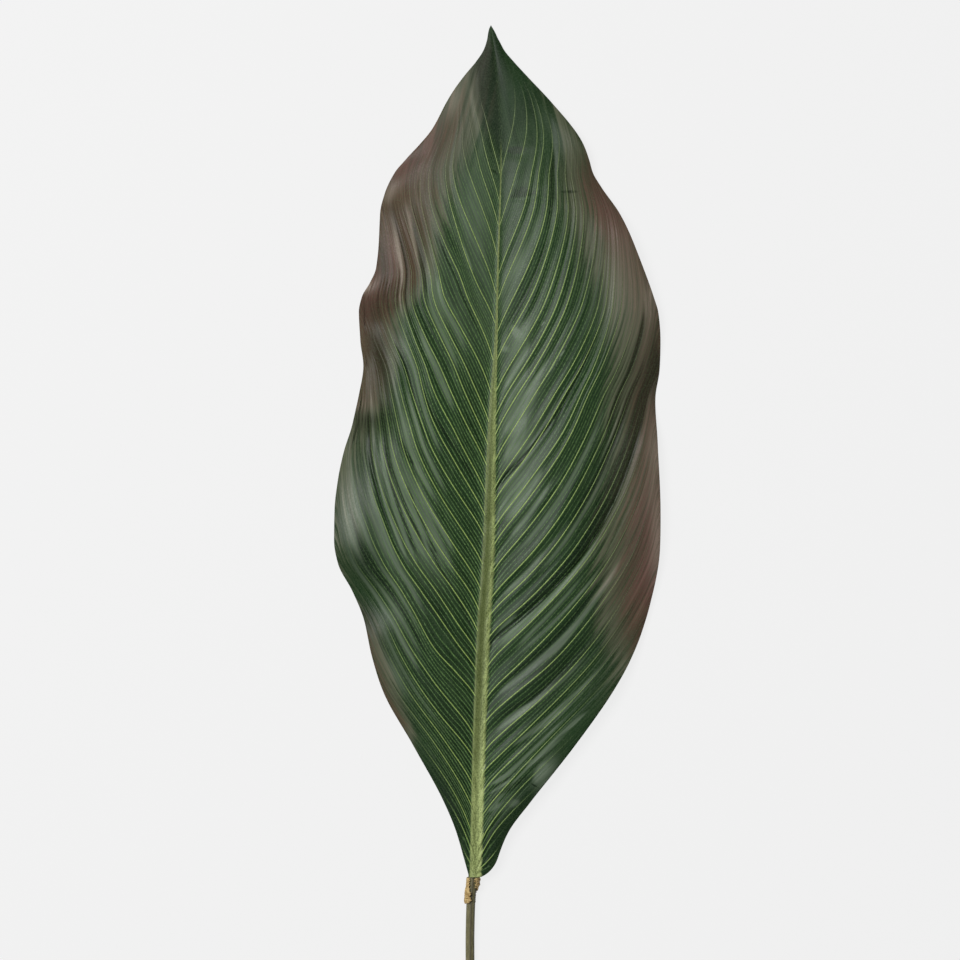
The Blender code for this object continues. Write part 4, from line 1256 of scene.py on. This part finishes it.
def stem_line():
    """The stalk's middle line as a curve, whose radius is the stalk's share of its full width."""
    curve = bpy.data.curves.new("stem_line", "CURVE")
    curve.dimensions = "3D"
    curve.twist_mode = "Z_UP"
    spline = curve.splines.new("POLY")
    points, taper = stem_middle()
    spline.points.add(len(points) - 1)
    for point, place, width in zip(spline.points, points, taper):
        point.co = (*place, 1)
        point.radius = width
    return object_from(curve, "stem_line")


def make_stem():
    """Stalk: a fluted round with one groove along its upper side, swept along the middle line."""
    geometry = Geometry("stalk")
    radius = geometry.size("Radius", STEM_RADIUS * MM)
    sides = geometry.size("Sides", STEM_SIDES, "Int")
    groove_depth = geometry.size("Groove depth", GROOVE_DEPTH)
    groove_width = geometry.size("Groove width", GROOVE_WIDTH)
    flutes = geometry.size("Flutes", FLUTES)
    flute_depth = geometry.size("Flute depth", FLUTE_DEPTH)
    place = geometry.value("GeometryNodeInputPosition")
    x, y, _ = geometry.split(place)
    from_groove = (x - GROOVE_SIDEWAYS) / groove_width
    dip = geometry.math("EXPONENT", from_groove * from_groove * -1)
    dip = dip * geometry.math("GREATER_THAN", y, 0.0) * groove_depth
    wave = geometry.math("COSINE", geometry.math("ARCTAN2", y, x) * flutes)
    size = (1 - (dip + wave * flute_depth)) * radius
    scaled = geometry.value("ShaderNodeVectorMath", {0: place, "Scale": size}, operation="SCALE")
    circle, across = geometry.captured(geometry.circle(sides), "side", x)
    profile = geometry.value("GeometryNodeSetPosition", {"Geometry": circle, "Position": scaled})
    way_up = geometry.value("GeometryNodeSplineParameter", output="Factor")
    path, length = geometry.captured(geometry.carrier, "length", way_up)
    swept = geometry.sweep(path, profile, geometry.value("GeometryNodeInputRadius"))
    swept = geometry.keep(swept, "stalk_side", across)
    geometry.finish(geometry.keep(swept, "stalk_length", length), stalk_olive())
    line = stem_line()
    stem = geometry.run(line, "stalk")
    bpy.data.objects.remove(line)
    return stem


def torn_edge(edge, along):
    """Angle over the level and stand-off of a torn edge at a place along the stalk."""
    places, angles, offs = np.array(edge, float).T
    return np.interp(along, places, angles), np.interp(along, places, offs)


def make_wrap():
    """A thin torn sheet bent round the underside and the sides of the stalk."""
    path = np.array(STEM_PATH, float)
    origin = BASE[0] + through(MIDRIB_X, 0.0)
    rng = np.random.default_rng(TEETH_SEED)
    teeth = rng.normal(0, 1, (2, WRAP_ROWS))
    along = np.linspace(WRAP_FROM, WRAP_TO, WRAP_ROWS)[:, None]
    part = np.linspace(0, 1, WRAP_COLUMNS)[None, :]
    edge_left, off_left = torn_edge(WRAP_LEFT, along)
    edge_right, off_right = torn_edge(WRAP_RIGHT, along)
    edge_left = edge_left + TEETH_TURN * teeth[0][:, None]
    edge_right = edge_right + TEETH_TURN * teeth[1][:, None]
    turn = np.radians((180 - edge_left) * (1 - part) + (360 + edge_right) * part)
    off = off_left * (1 - ease(0.2, 0.5, part)) + off_right * ease(0.5, 0.8, part)
    off = off * (1 + TEETH_OFF * teeth[0][:, None])
    crumple = CRUMPLE * np.sin(3.1 * along + 9 * part) * np.sin(21 * part - 2.3 * along)
    radius = STEM_RADIUS + WRAP_GAP + off + np.maximum(crumple, -0.1)
    x = through(path[:, (1, 0)], along) + origin + radius * np.cos(turn)
    z = through(path[:, (1, 2)], along) + radius * np.sin(turn)
    y = along + BASE[1] + 0 * part
    points = np.stack([x, y, z], -1).reshape(-1, 3) * MM
    index = np.arange(WRAP_ROWS * WRAP_COLUMNS).reshape(WRAP_ROWS, WRAP_COLUMNS)
    cells = np.stack([index[:-1, :-1], index[1:, :-1], index[1:, 1:], index[:-1, 1:]], -1)
    mesh = bpy.data.meshes.new("torn_wrap_sheet")
    mesh.from_pydata(points.tolist(), [], cells.reshape(-1, 4).tolist())
    mesh.materials.append(dry_brown())
    mesh.shade_smooth()
    wrap = object_from(mesh, "torn_brown_wrap")
    wall = wrap.modifiers.new("wall", "SOLIDIFY")
    wall.thickness = WRAP_THICKNESS * MM
    wall.offset = 1
    return wrap


def make_floor():
    """Pale table that glows a little, so that shadows on it stay faint."""
    half = FLOOR_SIZE / 2
    mesh = bpy.data.meshes.new("floor")
    corners = [(-half, -half, 0), (half, -half, 0), (half, half, 0), (-half, half, 0)]
    mesh.from_pydata(corners, [], [(0, 1, 2, 3)])
    shader = Shader("pale_table")
    shader.finish((FLOOR_SHADE,) * 3, 1.0, specular=0.0)
    shader.surface["Emission Color"].default_value = (*PALE, 1)
    shader.surface["Emission Strength"].default_value = FLOOR_GLOW
    mesh.materials.append(shader.material)
    floor = object_from(mesh, "floor")
    floor.location.z = -FLOOR_DROP * MM


def make_light():
    world = bpy.data.worlds.new("room")
    world.use_nodes = True
    background = world.node_tree.nodes["Background"]
    background.inputs["Color"].default_value = (*PALE, 1)
    background.inputs["Strength"].default_value = ROOM_LIGHT
    bpy.context.scene.world = world
    key = bpy.data.lights.new("key", "AREA")
    key.shape = "SQUARE"
    key.size = KEY_SIZE
    key.energy = KEY_POWER
    lamp = object_from(key, "key")
    direction = Vector(KEY_DIRECTION).normalized()
    lamp.location = direction * KEY_DISTANCE
    lamp.rotation_euler = direction.to_track_quat("Z", "Y").to_euler()


def make_camera():
    camera = bpy.data.cameras.new("camera")
    camera.lens = CAMERA_LENS
    camera.sensor_width = CAMERA_SENSOR
    camera.clip_start = CAMERA_NEAR
    eye = object_from(camera, "camera")
    x, y = CAMERA_OVER
    eye.location = (x * MM, y * MM, CAMERA_HEIGHT + LEAF_MIDDLE_HEIGHT * MM)
    bpy.context.scene.camera = eye
    bpy.context.scene.view_settings.view_transform = "Standard"


def declare(piece, slot, *nodes):
    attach(piece, "root")
    if nodes:
        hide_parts(*nodes)


def main():
    make_camera()
    make_light()
    make_floor()
    blade = make_blade()
    veins = make_veins(blade)
    stem = make_stem()
    wrap = make_wrap()
    declare(blade, "leaf_green", "leaf_blade")
    declare(veins, "leaf_green")
    declare(stem, "stalk_olive", "stem")
    declare(wrap, "dry_brown", "torn_wrap")


main()
